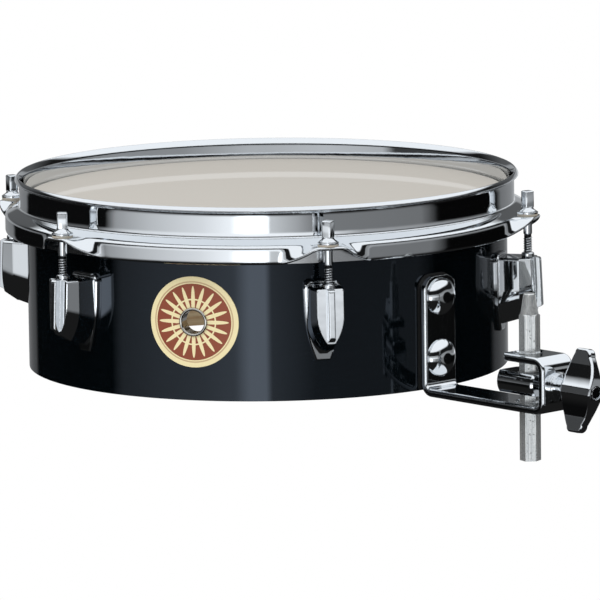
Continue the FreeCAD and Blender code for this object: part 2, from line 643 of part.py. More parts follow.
def lug_rib():
    """Blade down the middle of the front face, rounded at its nose."""
    wide, nose = LUG_RIB_W, 0.4 * LUG_RIB_W
    back_r = SHELL_R + LUG_NECK_OUT
    plan = both_sides(
        at_xy, (0, -back_r), (wide, -back_r), (wide, nose - LUG_RIB_R),
        ((wide - DIAGONAL * nose, DIAGONAL * nose - LUG_RIB_R), (wide - nose, -LUG_RIB_R)),
        (0, -LUG_RIB_R))
    k, corner = DIAGONAL * LUG_RIB_H / 2, LUG_RIB_H / 2
    low = LUG_TOP_Z - LUG_RIB_LEN
    side = outline(
        at_yz, (-back_r, LUG_TOP_Z), (corner - LUG_RIB_R, LUG_TOP_Z),
        ((k - LUG_RIB_R, LUG_TOP_Z - k), (-LUG_RIB_R, LUG_TOP_Z - corner)),
        (-LUG_RIB_R, low + corner), ((k - LUG_RIB_R, low + k), (corner - LUG_RIB_R, low)),
        (-back_r, LUG_TOP_Z - 0.94 * LUG_NECK_LEN))
    blade = plan.extrude(V(0, 0, 2 * LUG_TOP_Z))
    slab = side.extrude(V(4 * wide, 0, 0))
    slab.translate(V(-2 * wide, 0, 0))
    rib = blade.common(slab)
    rib.rotate(V(0, -LUG_FRONT_R, LUG_TOP_Z - LUG_FRONT_LEN / 2), X_AXIS, -LUG_DRAFT)
    return rib


def lug_plate():
    low = LUG_PLATE_TOP_Z - LUG_PLATE_H
    wide, top, corner = LUG_PLATE_HALF_W, LUG_PLATE_TOP_Z, LUG_PLATE_CORNER_R
    k = DIAGONAL * corner
    face = both_sides(
        at_xz, (0, top), (wide - corner, top), ((wide - k, top - k), (wide, top - corner)),
        (0.95 * wide, top - 0.38 * LUG_PLATE_H),
        ((0.78 * wide, top - 0.68 * LUG_PLATE_H), (0.38 * wide, low)), (0, low))
    plate = face.extrude(V(0, -LUG_PLATE_T - DRILL_OVER, 0))
    plate.translate(V(0, DRILL_OVER - SHELL_R, 0))
    rim = [e for e in plate.Edges if e.BoundBox.YMax < 0.1 - SHELL_R - LUG_PLATE_T]
    return plate.makeChamfer(LUG_PLATE_EDGE, rim)


def lug():
    casting = lug_body().fuse([lug_rib(), lug_plate()]).removeSplitter()
    cuts = [Part.makeCylinder(SHELL_R, 3 * SHELL_DEPTH, V(0, 0, -SHELL_DEPTH))]
    bore_low = LUG_TOP_Z - LUG_CORE_DEPTH
    bore_h = LUG_CORE_DEPTH + LUG_PLATE_PROUD + DRILL_OVER
    cuts.append(Part.makeCylinder(NUT_R + NUT_FIT, bore_h, V(0, -ROD_CIRCLE_R, bore_low)))
    for z in LUG_SCREW_ZS:
        cuts.append(screw_hole(z, LUG_SCREW_LEN))
    return casting.cut(cuts)


def head_seat_r(across):
    """Where a screw's head bears on its washer, against the shell's inner wall."""
    return seat_r(INNER_R, SCREW_WASHER_R + abs(across)) - SCREW_WASHER_T


def screw_hole(z, length, across=0.0):
    """Blind hole in an outside fitting, a little longer than the screw that ends in it."""
    end = head_seat_r(across) + length + SCREW_END_GAP
    return radial(LUG_SCREW_R, INNER_R - DRILL_OVER, end, z, across)


def pan_screw(z, length, across=0.0):
    """Screw from inside: a cross-slotted pan head on a washer."""
    seat = head_seat_r(across)
    shank = radial(LUG_SCREW_R, seat - 0.5 * SCREW_HEAD_H, seat + length, z, across)
    head = radial(SCREW_HEAD_R, seat - SCREW_HEAD_H, seat, z, across)
    rim = [e for e in head.Edges if e.BoundBox.YMin > -(seat - SCREW_HEAD_H) - 0.1]
    deep = SCREW_HEAD_H - SCREW_SLOT_DEPTH
    w, half = SCREW_SLOT_W / 2, SCREW_SLOT_LEN / 2
    slot = box(across - w, across + w, deep - seat, DRILL_OVER - seat, z - half, z + half)
    cross = box(across - half, across + half, deep - seat, DRILL_OVER - seat, z - w, z + w)
    return head.makeChamfer(SCREW_HEAD_BEVEL, rim).fuse(shank).cut([slot, cross])


def screw_washer(z, across=0.0):
    outer = head_seat_r(across) + SCREW_WASHER_T
    disc = radial(SCREW_WASHER_R, outer - SCREW_WASHER_T, outer, z, across)
    bore = radial(LUG_SCREW_R + SCREW_WASHER_GAP, outer - DRILL_OVER, outer + DRILL_OVER, z, across)
    return disc.cut(bore)


def housing_screw_len():
    """The housing's screws end behind its front skin."""
    end = HOUSING_OUTER_R - HOUSING_SKIN - SCREW_END_GAP
    return end - head_seat_r(HOUSING_SCREW_SPREAD)


# ---- Clamp bracket --------------------------------------------------------------------------
def bent_strip():
    """Side view of the bent plate: strap on the shell, lower arm, web and upper arm."""
    t, bend = PLATE_T, PLATE_BEND_R
    big, k = bend + t, 1 - math.sqrt(0.5)
    low, high = ARM_LOW_Z, ARM_HIGH_Z
    return outline(
        lambda r, z: V(0, -r, z),
        (STRAP_IN_R, STRAP_TOP_Z), (STRAP_IN_R, low + big),
        ((STRAP_IN_R + k * big, low + k * big), (STRAP_IN_R + big, low)),
        (WEB_OUTER_R - big, low),
        ((WEB_OUTER_R - k * big, low + k * big), (WEB_OUTER_R, low + big)),
        (WEB_OUTER_R, high - big),
        ((WEB_OUTER_R - k * big, high - k * big), (WEB_OUTER_R - big, high)),
        (UPPER_ARM_END_R, high), (UPPER_ARM_END_R, high - t), (WEB_IN_R - bend, high - t),
        ((WEB_IN_R - k * bend, high - t - k * bend), (WEB_IN_R, high - t - bend)),
        (WEB_IN_R, low + t + bend),
        ((WEB_IN_R - k * bend, low + t + k * bend), (WEB_IN_R - bend, low + t)),
        (STRAP_OUT_R + bend, low + t),
        ((STRAP_OUT_R + k * bend, low + t + k * bend), (STRAP_OUT_R, low + t + bend)),
        (STRAP_OUT_R, STRAP_TOP_Z))


def strap_window(margin, low_z):
    """Front view of the strap with rounded top corners."""
    wide = PLATE_HALF_W + margin
    top = STRAP_TOP_Z + margin
    corner = STRAP_CORNER_R
    k = corner * (1 - math.sqrt(0.5))
    return both_sides(
        at_xz, (0, low_z), (wide, low_z), (wide, top - corner),
        ((wide - k, top - k), (wide - corner, top)), (0, top))


def arm_hole(z0, z1):
    """Round hole for the post with a chamfer at the top face."""
    section = outline(
        at_xz, (0, z0 - 1), (ARM_HOLE_R, z0 - 1), (ARM_HOLE_R, z1 - ARM_HOLE_CHAMFER),
        (ARM_HOLE_R + ARM_HOLE_CHAMFER, z1), (ARM_HOLE_R + ARM_HOLE_CHAMFER, z1 + 1), (0, z1 + 1))
    hole = spun(section)
    hole.translate(V(0, -ARM_HOLE_CENTRE_R, 0))
    return hole


def long_edges(plate, half_w):
    """Edges of a flat-sided plate that lie in one of its two sides."""
    chosen = []
    for edge in plate.Edges:
        span = edge.BoundBox
        if span.XLength < 1e-4 and abs(abs(span.XMin) - half_w) < 1e-4:
            chosen.append(edge)
    return chosen


def bracket_plate():
    strip = bent_strip().extrude(V(2 * PLATE_HALF_W, 0, 0))
    strip.translate(V(-PLATE_HALF_W, 0, 0))
    strip = strip.makeFillet(PLATE_EDGE_R, long_edges(strip, PLATE_HALF_W))
    window = strap_window(0, ARM_LOW_Z - DRILL_OVER)
    window = window.extrude(V(0, SHELL_R - WEB_OUTER_R - DRILL_OVER, 0))
    window.translate(V(0, -SHELL_R, 0))
    cuts = [arm_hole(ARM_LOW_Z, ARM_LOW_Z + PLATE_T), arm_hole(ARM_HIGH_Z - PLATE_T, ARM_HIGH_Z)]
    cuts.append(radial(
        STUD_R + STUD_CLEAR, WEB_IN_R - DRILL_OVER, WEB_OUTER_R + DRILL_OVER, CLAMP_AXIS_Z))
    for z in BRACKET_BOLT_ZS:
        cuts.append(radial(
            BOLT_SHANK_R + BOLT_CLEAR, SHELL_R - DRILL_OVER, STRAP_OUT_R + DRILL_OVER, z))
    return turned(strip.common(window).cut(cuts), CLAMP_AZIMUTH)


def bracket_gasket():
    pad = strap_window(GASKET_RIM, GASKET_LOW_Z)
    pad = pad.extrude(V(0, SHELL_R - STRAP_IN_R - DRILL_OVER, 0))
    pad.translate(V(0, DRILL_OVER - SHELL_R, 0))
    cuts = [Part.makeCylinder(SHELL_R, 3 * SHELL_DEPTH, V(0, 0, -SHELL_DEPTH))]
    for z in BRACKET_BOLT_ZS:
        cuts.append(radial(
            BOLT_SHANK_R + BOLT_CLEAR, SHELL_R - DRILL_OVER, STRAP_OUT_R + DRILL_OVER, z))
    return turned(pad.cut(cuts), CLAMP_AZIMUTH)


def bracket_bolt(z):
    """Round-headed bolt: a low rim, a dome and a flat crown."""
    seat, top = STRAP_OUT_R, STRAP_OUT_R + BOLT_DOME_H
    section = outline(
        at_xy, (0, seat - BOLT_LEN), (BOLT_SHANK_R, seat - BOLT_LEN), (BOLT_SHANK_R, seat),
        (BOLT_DOME_R, seat), (BOLT_DOME_R, seat + BOLT_RIM_H),
        ((0.72 * BOLT_DOME_R, seat + 0.72 * BOLT_DOME_H), (0.3 * BOLT_DOME_R, top)), (0, top))
    bolt = section.revolve(V(0, 0, 0), Y_AXIS, 360)
    bolt.rotate(V(0, 0, 0), Z_AXIS, 180)
    bolt.translate(V(0, 0, z))
    return turned(bolt, CLAMP_AZIMUTH)


def bracket_nut(z):
    bore = Part.makeCylinder(BOLT_SHANK_R, 3 * BOLT_NUT_H, V(0, 0, -BOLT_NUT_H))
    nut = hexagon(BOLT_NUT_AF, BOLT_NUT_H).cut(bore)
    nut.rotate(V(0, 0, 0), Y_AXIS, 90)
    nut.translate(V(BACK_FACE_X - BACK_PLATE_T - BOLT_NUT_H, 0, z))
    return nut


def pivot_cylinder(radius, reach):
    return Part.makeCylinder(radius, 2 * reach, V(PIVOT_X, -reach, PIVOT_Z), Y_AXIS)


def back_plate():
    """Plate inside the shell: it backs the bracket's bolts and carries the snare bridge's pivot."""
    inner_x = BACK_FACE_X - BACK_PLATE_T
    ear_top = BRIDGE_Z - BACK_PLATE_GAP
    ear_low = PIVOT_Z - PIVOT_EAR_LOW
    plate = box(
        inner_x, BACK_FACE_X, -BACK_PLATE_HALF_W, BACK_PLATE_HALF_W, BACK_PLATE_LOW_Z, ear_top)
    head = box(inner_x, BACK_FACE_X, -PIVOT_EAR_Y, PIVOT_EAR_Y, ear_low, ear_top)
    ears = []
    for side in (-1, 1):
        y0, y1 = sorted((side * PIVOT_EAR_Y, side * (PIVOT_EAR_Y - PIVOT_EAR_T)))
        ear = box(PIVOT_X, BACK_FACE_X, y0, y1, ear_low, ear_top)
        nose = Part.makeCylinder(0.5 * (ear_top - ear_low), y1 - y0, V(PIVOT_X, y0, 0), Y_AXIS)
        nose.translate(V(0, 0, 0.5 * (ear_top + ear_low)))
        ears += [ear, nose]
    cuts = [pivot_cylinder(PIVOT_PIN_R, BRIDGE_HALF_W)]
    bolt_r = BOLT_SHANK_R + BOLT_CLEAR
    cuts += [along_x(bolt_r, inner_x - DRILL_OVER, SHELL_R, z) for z in BRACKET_BOLT_ZS]
    return plate.fuse([head] + ears).cut(cuts).removeSplitter()


# ---- Post, eyebolt and wing nut --------------------------------------------------------------
def mounting_post():
    flat_r, corner_r = POST_AF / 2, POST_CORNER_R
    turned_end = spun(outline(
        at_xz, (0, POST_LOW_Z), (corner_r + 1, POST_LOW_Z), (corner_r + 1, POST_HEX_TOP_Z - POST_SHOULDER_H),
        (flat_r, POST_HEX_TOP_Z), (POST_TIP_R + POST_TIP_ROUND, POST_TIP_Z - POST_TIP_ROUND),
        ((POST_TIP_R + 0.3 * POST_TIP_ROUND, POST_TIP_Z - 0.2 * POST_TIP_ROUND),
         (POST_TIP_R - POST_TIP_ROUND, POST_TIP_Z)), (0, POST_TIP_Z)))
    bar = hexagon(POST_AF, POST_TIP_Z - POST_LOW_Z)
    bar.translate(V(0, 0, POST_LOW_Z))
    post = bar.common(turned_end)
    post.rotate(V(0, 0, 0), Z_AXIS, POST_TURN)
    post.translate(V(POST_AXIS_R, 0, 0))
    return post


def eyebolt():
    """Barrel with two flats, the post's cross hole, and a stud through the web."""
    barrel = along_x(EYE_R, EYE_INNER_R, EYE_OUTER_R, CLAMP_AXIS_Z)
    rims = [e for e in barrel.Edges if e.BoundBox.XLength < 0.01]
    barrel = barrel.makeChamfer(EYE_CHAMFER, rims)
    flats = box(
        EYE_INNER_R - 1, EYE_OUTER_R + 1, -EYE_R, EYE_R,
        CLAMP_AXIS_Z - EYE_FLAT, CLAMP_AXIS_Z + EYE_FLAT)
    stud = along_x(STUD_R, EYE_OUTER_R - 1, STUD_END_R, CLAMP_AXIS_Z)
    tip = [e for e in stud.Edges if e.BoundBox.XMin > STUD_END_R - 0.1]
    hole = Part.makeCylinder(EYE_HOLE_R, 4 * EYE_R, V(EYE_CENTRE_R, 0, CLAMP_AXIS_Z - 2 * EYE_R))
    stud = stud.makeChamfer(STUD_CHAMFER, tip)
    return barrel.common(flats).fuse(stud).cut(hole).removeSplitter()


def clamp_washer(index):
    """Flat washer on the web and a second, sprung one on top of it."""
    start = WEB_OUTER_R + index * CLAMP_WASHER_T
    radius = CLAMP_WASHER_R - CLAMP_WASHER_STEP * index
    disc = along_x(radius, start, start + CLAMP_WASHER_T, CLAMP_AXIS_Z)
    bore = along_x(STUD_R + STUD_CLEAR, start - DRILL_OVER, start + DRILL_OVER, CLAMP_AXIS_Z)
    return disc.cut(bore)


def wing_nut():
    """Cast wings: a side profile crossed with an edge-on profile that swells at the hub."""
    neck = WING_SEAT_R + WING_NECK
    half = WING_SPAN / 2
    shoulder = 0.18 * WING_SPAN
    tip_in, tip_out = WING_TIP_INNER_R, WING_TIP_OUTER_R
    side = outline(
        at_xz, (neck, -shoulder), ((neck - 0.1 * WING_HUB_R, 0), (neck, shoulder)),
        ((neck + 0.46 * (tip_in - neck), 0.67 * half), (tip_in, 0.88 * half)),
        ((tip_in + 0.9, half - 0.8), (tip_in + 3, half)), (tip_out - 5, half),
        ((tip_out - 1.3, half - 1.2), (tip_out, half - 4.5)),
        ((WING_CENTRE_R, 0), (tip_out, 4.5 - half)),
        ((tip_out - 1.3, 1.2 - half), (tip_out - 5, -half)), (tip_in + 3, -half),
        ((tip_in + 0.9, 0.8 - half), (tip_in, -0.88 * half)),
        ((neck + 0.46 * (tip_in - neck), -0.67 * half), (neck, -shoulder)))
    thin, over = WING_TIP_HALF_T, half + 1
    flank = 0.62 * WING_HUB_R
    edge = outline(
        at_yz, (thin, -over), (thin, -0.62 * half),
        ((flank, -0.4 * half), (WING_HUB_R, -0.08 * half)), (WING_HUB_R, 0.08 * half),
        ((flank, 0.4 * half), (thin, 0.62 * half)), (thin, over),
        (-thin, over), (-thin, 0.62 * half),
        ((-flank, 0.4 * half), (-WING_HUB_R, 0.08 * half)), (-WING_HUB_R, -0.08 * half),
        ((-flank, -0.4 * half), (-thin, -0.62 * half)), (-thin, -over))
    side_prism = side.extrude(V(0, 4 * WING_HUB_R, 0))
    side_prism.translate(V(0, -2 * WING_HUB_R, 0))
    edge_prism = edge.extrude(V(2 * WING_REACH, 0, 0))
    edge_prism.translate(V(WING_SEAT_R - WING_REACH / 2, 0, 0))
    wings = side_prism.common(edge_prism)
    wings = wings.makeFillet(WING_EDGE_R, wings.Edges)
    hub = Part.makeCone(
        0.94 * WING_HUB_R, WING_HUB_R, 2 * WING_NECK, V(WING_SEAT_R, 0, 0), X_AXIS)
    nut = wings.fuse(hub).removeSplitter()
    reach = WING_REACH + DRILL_OVER
    nut = nut.cut(along_x(STUD_R + WING_FIT, WING_SEAT_R - DRILL_OVER, WING_SEAT_R + reach, 0))
    nut.rotate(V(0, 0, 0), X_AXIS, WING_TILT)
    nut.translate(V(0, 0, CLAMP_AXIS_Z))
    return nut


# ---- Snare unit -----------------------------------------------------------------------------
def snare_wire(index):
    y = (index - (WIRE_COUNT - 1) / 2) * WIRE_PITCH
    return along_x(WIRE_R, -WIRE_HALF_LEN, WIRE_HALF_LEN, WIRE_Z, y)


def snare_end_plate(side):
    inner = WIRE_HALF_LEN - END_PLATE_OVERLAP
    plate = box(
        inner, inner + END_PLATE_LEN, -END_PLATE_HALF_W, END_PLATE_HALF_W,
        END_PLATE_Z, END_PLATE_Z + END_PLATE_T)
    corners = [e for e in plate.Edges if e.BoundBox.ZLength > 0.5]
    return turned(plate.makeFillet(END_PLATE_CORNER_R, corners), 0 if side > 0 else 180)


def snare_saddle(side):
    """Block that holds an end plate up to the head; the one at +X is pulled by the screw."""
    half = SADDLE_LEN / 2
    block = box(
        SADDLE_X - half, SADDLE_X + half, -END_PLATE_HALF_W, END_PLATE_HALF_W,
        SADDLE_Z, END_PLATE_Z)
    if side > 0:
        return block.cut(tension_bore(TENSION_SCREW_R + SCREW_FIT))
    inner = END_PLATE_HALF_W - SADDLE_FOOT_W
    hollow = box(
        SADDLE_X - half - 1, SADDLE_X + half + 1, -inner, inner,
        SADDLE_Z - 1, END_PLATE_Z - SADDLE_ROOF_T)
    return turned(block.cut(hollow), 180)


def tension_bore(radius):
    """Drilled right through the saddle and the tab, so that the saddle can run up the screw."""
    return along_x(
        radius, SADDLE_X - SADDLE_LEN, BRIDGE_TAB_X + BRIDGE_T + 1, TENSION_SCREW_Z)


def snare_tension_screw():
    head_x = BRIDGE_TAB_X + BRIDGE_T
    head = along_x(THUMB_HEAD_R, head_x, head_x + THUMB_HEAD_LEN, TENSION_SCREW_Z)
    start = SADDLE_X + SADDLE_LEN / 2 - SCREW_IN_SADDLE
    shank = along_x(TENSION_SCREW_R, start, head_x + 1, TENSION_SCREW_Z)
    return shank.fuse(head).removeSplitter()


def snare_bridge():
    """Channel under the head: two flanges, a tab for the tension screw and a foot on the cam."""
    top = SADDLE_Z
    far_x = PIVOT_X + BRIDGE_PAST_PIVOT
    web_end = BRIDGE_TAB_X + 2.5 * BRIDGE_T
    web = box(BRIDGE_END_X, web_end, -BRIDGE_HALF_W, BRIDGE_HALF_W, BRIDGE_Z, top)
    rails = []
    for side in (-1, 1):
        y0, y1 = sorted((side * BRIDGE_HALF_W, side * (BRIDGE_HALF_W - BRIDGE_T)))
        rails.append(box(BRIDGE_END_X, far_x, y0, y1, top - BRIDGE_FLANGE, top))
    wide = BRIDGE_TAB_W
    tab = box(
        BRIDGE_TAB_X, BRIDGE_TAB_X + BRIDGE_T, -wide, wide,
        BRIDGE_Z, END_PLATE_Z - BRIDGE_TAB_LOW)
    foot_z = CAM_Z + CAM_HIGH_R + CAM_GAP
    x0, x1 = CAM_X0 - FOOT_RIM, CAM_X1 + FOOT_RIM
    foot = box(x0, x1, -wide, wide, foot_z, BRIDGE_Z + 0.1)
    hollow = box(x0 + FOOT_T, x1 - FOOT_T, -wide - 1, wide + 1, foot_z + FOOT_T, BRIDGE_Z)
    windows = []
    for i in (-2, -1, 0, 1, 2):
        x0, x1 = i * WINDOW_PITCH - WINDOW_LEN / 2, i * WINDOW_PITCH + WINDOW_LEN / 2
        window = box(x0, x1, -WINDOW_HALF_W, WINDOW_HALF_W, BRIDGE_Z - 1, top + 1)
        corners = [e for e in window.Edges if e.BoundBox.ZLength > 1]
        windows.append(window.makeFillet(WINDOW_R, corners))
    cuts = [pivot_cylinder(PIVOT_PIN_R + PIN_FIT, 2 * BRIDGE_HALF_W)]
    cuts.append(tension_bore(TENSION_SCREW_R + SCREW_TAB_FIT))
    return web.fuse(rails + [tab, foot.cut(hollow)]).cut(cuts + windows).removeSplitter()


def bridge_pivot_pin():
    return pivot_cylinder(PIVOT_PIN_R, BRIDGE_HALF_W + PIVOT_PIN_PAST)


def cam_face():
    """Disc cam: its radius falls evenly over a quarter turn, then returns by a round heel."""
    low_r = CAM_HIGH_R - CAM_DROP
    points = []
    for i in range(13):
        angle = math.radians(90 * i / 12)
        r = CAM_HIGH_R - CAM_DROP * i / 12
        points.append(V(0, r * math.sin(angle), r * math.cos(angle)))
    fall = Part.BSplineCurve()
    fall.interpolate(points)
    heel = Part.Arc(
        V(0, low_r, 0), V(0, 0.55 * CAM_HIGH_R, -0.62 * CAM_HIGH_R),
        V(0, 0, -CAM_HIGH_R)).toShape()
    back = Part.Arc(V(0, 0, -CAM_HIGH_R), V(0, -CAM_HIGH_R, 0), V(0, 0, CAM_HIGH_R)).toShape()
    return Part.Face(Part.Wire([fall.toShape(), heel, back]))


def cam_shaft():
    cam = cam_face().extrude(V(CAM_W, 0, 0))
    cam.translate(V(CAM_X0, 0, CAM_Z))
    shaft = along_x(CAM_SHAFT_R, shaft_end_x(), CAM_X0 + 1, CAM_Z)
    return cam.fuse(shaft).removeSplitter()


def shaft_end_x():
    return LEVER_IN_X - LEVER_T + LEVER_SKIN


def throw_off_bush():
    outer = -(HOUSING_OUTER_R - HOUSING_SKIN)
    inner = -seat_r(INNER_R, BUSH_FLANGE_R)
    body = along_x(BUSH_R, outer, inner, CAM_Z)
    flange = along_x(BUSH_FLANGE_R, inner, inner + BUSH_T, CAM_Z)
    bore = along_x(CAM_SHAFT_R + SHAFT_FIT, outer - DRILL_OVER, inner + DRILL_OVER, CAM_Z)
    return body.fuse(flange).cut(bore).removeSplitter()


def throw_off_housing():
    low, high, wide = HOUSING_LOW_Z, HOUSING_HIGH_Z, HOUSING_HALF_W
    foot, corner = HOUSING_FOOT_R, HOUSING_CORNER_R
    face = both_sides(
        at_xz, (0, low), (wide - foot, low),
        ((wide - DIAGONAL * foot, low + DIAGONAL * foot), (wide, low + foot)),
        (wide, high - corner),
        ((wide - DIAGONAL * corner, high - DIAGONAL * corner), (wide - corner, high)), (0, high))
    start = seat_r(SHELL_R, wide) - DRILL_OVER
    block = face.extrude(V(0, start - HOUSING_OUTER_R, 0))
    block.translate(V(0, -start, 0))
    front = [e for e in block.Edges if e.BoundBox.YMax < -HOUSING_OUTER_R + 0.1]
    block = block.makeFillet(HOUSING_EDGE_R, front)
    cuts = [Part.makeCylinder(SHELL_R, 3 * SHELL_DEPTH, V(0, 0, -SHELL_DEPTH))]
    cuts.append(radial(BUSH_R, INNER_R, HOUSING_OUTER_R - HOUSING_SKIN, CAM_Z))
    cuts.append(radial(CAM_SHAFT_R + SHAFT_FIT, INNER_R, HOUSING_OUTER_R + DRILL_OVER, CAM_Z))
    for across in (-HOUSING_SCREW_SPREAD, HOUSING_SCREW_SPREAD):
        cuts.append(screw_hole(HOUSING_SCREW_Z, housing_screw_len(), across))
    return turned(block.cut(cuts), THROW_AZIMUTH)


def throw_off_lever():
    """Hub on the cam shaft and a tapered handle that hangs down when the snares are on."""
    hub, tip, length = LEVER_HUB_R, LEVER_TIP_R, LEVER_LEN
    face = outline(
        at_yz, (hub, 0), ((0, hub), (-hub, 0)), (-tip, -length),
        ((0, -length - tip), (tip, -length)))
    arm = face.extrude(V(-LEVER_T, 0, 0))
    outer = [e for e in arm.Edges if e.BoundBox.XMax < -LEVER_T + 0.1]
    arm = arm.makeFillet(LEVER_EDGE_R, outer)
    arm.translate(V(LEVER_IN_X, 0, CAM_Z))
    return arm.cut(along_x(CAM_SHAFT_R, shaft_end_x(), LEVER_IN_X + 1, CAM_Z))


def lever_screw():
    seat = LEVER_IN_X - LEVER_T
    head = along_x(LEVER_SCREW_R, seat - LEVER_SCREW_H, seat, CAM_Z)
    rim = [e for e in head.Edges if e.BoundBox.XMax < seat - LEVER_SCREW_H + 0.1]
    return head.makeChamfer(LEVER_SCREW_BEVEL, rim)


# ---- Writing --------------------------------------------------------------------------------
def save(name, *solids):
    shape = solids[0].copy() if len(solids) == 1 else Part.makeCompound(list(solids))
    shape.translate(V(-POST_AXIS_R, 0, -POST_LOW_Z))
    shape.exportStep(f"parts/{name}.step")


def save_shell():
    save("shell", shell())
    save("shell_wrap", shell_wrap())
    save("badge_plate", badge_plate())
    save("vent_grommet", vent_grommet())


def save_head_and_hoop():
    save("batter_head", batter_head())
    save("flesh_hoop", flesh_hoop())
    save("batter_hoop", batter_hoop())
    save("nylon_washers", *[
        on_rod_circle(rod_washer(EAR_TOP_Z, NYLON_WASHER_T), a) for a in LUG_AZIMUTHS])
    save("steel_washers", *[
        on_rod_circle(rod_washer(EAR_TOP_Z + NYLON_WASHER_T, STEEL_WASHER_T), a)
        for a in LUG_AZIMUTHS])


def save_lugs():
    rod, casting, nut = tension_rod(), lug(), swivel_nut()
    for number, azimuth in enumerate(LUG_AZIMUTHS, 1):
        save(f"tension_rod_{number}", on_rod_circle(rod, azimuth))
        save(f"lug_{number}", turned(casting, azimuth))
    save("lug_swivel_nuts", *[on_rod_circle(nut, a) for a in LUG_AZIMUTHS])
    places = [(z, azimuth) for azimuth in LUG_AZIMUTHS for z in LUG_SCREW_ZS]
    save("lug_screws", *[turned(pan_screw(z, LUG_SCREW_LEN), a) for z, a in places])
    save("lug_screw_washers", *[turned(screw_washer(z), a) for z, a in places])


def save_clamp():
    save("bracket_plate", bracket_plate())
    save("bracket_gasket", bracket_gasket())
    save("bracket_bolts", *[bracket_bolt(z) for z in BRACKET_BOLT_ZS])
    save("bracket_nuts", *[bracket_nut(z) for z in BRACKET_BOLT_ZS])
    save("inner_back_plate", back_plate())
    save("mounting_post", mounting_post())
    save("eyebolt", eyebolt())
    save("clamp_washers", clamp_washer(0), clamp_washer(1))
    save("wing_nut", wing_nut())


def save_snare_unit():
    save("snare_wires", *[snare_wire(i) for i in range(WIRE_COUNT)])
    save("fixed_end_plate", snare_end_plate(-1))
    save("fixed_saddle", snare_saddle(-1))
    save("moving_end_plate", snare_end_plate(1))
    save("moving_saddle", snare_saddle(1))
    save("snare_tension_screw", snare_tension_screw())
    save("snare_bridge", snare_bridge())
    save("bridge_pivot_pin", bridge_pivot_pin())
    save("cam_shaft", cam_shaft())
    save("throw_off_bush", throw_off_bush())
    save("throw_off_housing", throw_off_housing())
    spread = (-HOUSING_SCREW_SPREAD, HOUSING_SCREW_SPREAD)
    save("housing_screws", *[
        turned(pan_screw(HOUSING_SCREW_Z, housing_screw_len(), across), THROW_AZIMUTH)
        for across in spread])
    save("housing_screw_washers", *[
        turned(screw_washer(HOUSING_SCREW_Z, across), THROW_AZIMUTH) for across in spread])
    save("throw_off_lever", throw_off_lever())
    save("lever_screw", lever_screw())


def main():
    os.makedirs("parts", exist_ok=True)
    save_shell()
    save_head_and_hoop()
    save_lugs()
    save_clamp()
    save_snare_unit()


main()
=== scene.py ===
"""Finish, threads, wires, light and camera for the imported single-headed snare drum.

Lengths are metres and azimuths are degrees about the drum axis, from -Y towards +X.
"""
import logging
import math
from dataclasses import dataclass
from enum import Enum
from typing import Iterable, Sequence

import bmesh
import bpy
from mathutils import Matrix, Vector


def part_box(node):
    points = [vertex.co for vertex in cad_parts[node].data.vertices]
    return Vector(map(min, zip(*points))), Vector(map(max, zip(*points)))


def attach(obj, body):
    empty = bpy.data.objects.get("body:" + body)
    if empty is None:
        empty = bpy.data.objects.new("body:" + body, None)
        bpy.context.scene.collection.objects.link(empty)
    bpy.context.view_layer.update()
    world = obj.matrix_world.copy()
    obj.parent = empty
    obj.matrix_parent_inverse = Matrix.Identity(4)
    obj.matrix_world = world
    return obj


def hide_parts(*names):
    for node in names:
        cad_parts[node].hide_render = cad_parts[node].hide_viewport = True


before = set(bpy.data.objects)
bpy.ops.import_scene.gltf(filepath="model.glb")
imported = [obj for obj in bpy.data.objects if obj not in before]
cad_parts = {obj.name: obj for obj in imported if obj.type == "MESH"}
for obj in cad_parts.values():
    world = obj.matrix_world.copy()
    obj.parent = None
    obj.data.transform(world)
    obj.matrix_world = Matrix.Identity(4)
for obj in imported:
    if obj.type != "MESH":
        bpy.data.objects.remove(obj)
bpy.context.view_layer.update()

LOG = logging.getLogger("snare_drum")
MM = 0.001

Point = tuple[float, float]
Colour = tuple[float, float, float, float]


# ---- Measures read from the frame --------------------------------------------------------------
def middle(node: str) -> Vector:
    """Centre of a CAD node's box.

    Args:
        node: Name of the node.

    Returns:
        The centre at rest.
    """
    low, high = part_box(node)
    return (low + high) / 2


SHELL_LOW, SHELL_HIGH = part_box("shell")
AXIS = (SHELL_LOW + SHELL_HIGH) / 2
SHELL_R = (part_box("shell_wrap")[1].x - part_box("shell_wrap")[0].x) / 2
BOTTOM_Z = SHELL_LOW.z


def towards(azimuth: float, elevation: float) -> Vector:
    """Direction seen from the drum.

    Args:
        azimuth: Degrees about the drum axis, from -Y towards +X.
        elevation: Degrees above the horizon.

    Returns:
        A unit vector.
    """
    a, e = math.radians(azimuth), math.radians(elevation)
    return Vector((math.sin(a) * math.cos(e), -math.cos(a) * math.cos(e), math.sin(e)))


# ---- Colours and nodes ---------------------------------------------------------------------------
def srgb(code: str) -> Colour:
    """Linear colour of an sRGB hex value.

    Args:
        code: Six hex digits after a hash sign.

    Returns:
        Linear red, green and blue with an alpha of 1.
    """
    parts = [int(code[i:i + 2], 16) / 255 for i in (1, 3, 5)]
    linear = [c / 12.92 if c <= 0.04045 else ((c + 0.055) / 1.055) ** 2.4 for c in parts]
    return (*linear, 1.0)


def add_node(tree: bpy.types.NodeTree, kind: str, inputs: dict | None = None,
             **settings: object) -> bpy.types.Node:
    """Adds a node with its settings, and fills or links its inputs.

    Args:
        tree: Node tree that gets the node.
        kind: Node type without the ShaderNode prefix.
        inputs: Socket name or index to a value, or to the output socket that feeds it.
        settings: Attributes of the node.

    Returns:
        The new node.
    """
    node = tree.nodes.new("ShaderNode" + kind)
    for name, value in settings.items():
        setattr(node, name, value)
    for name, value in (inputs or {}).items():
        if isinstance(value, bpy.types.NodeSocket):
            tree.links.new(value, node.inputs[name])
        else:
            node.inputs[name].default_value = value
    return node


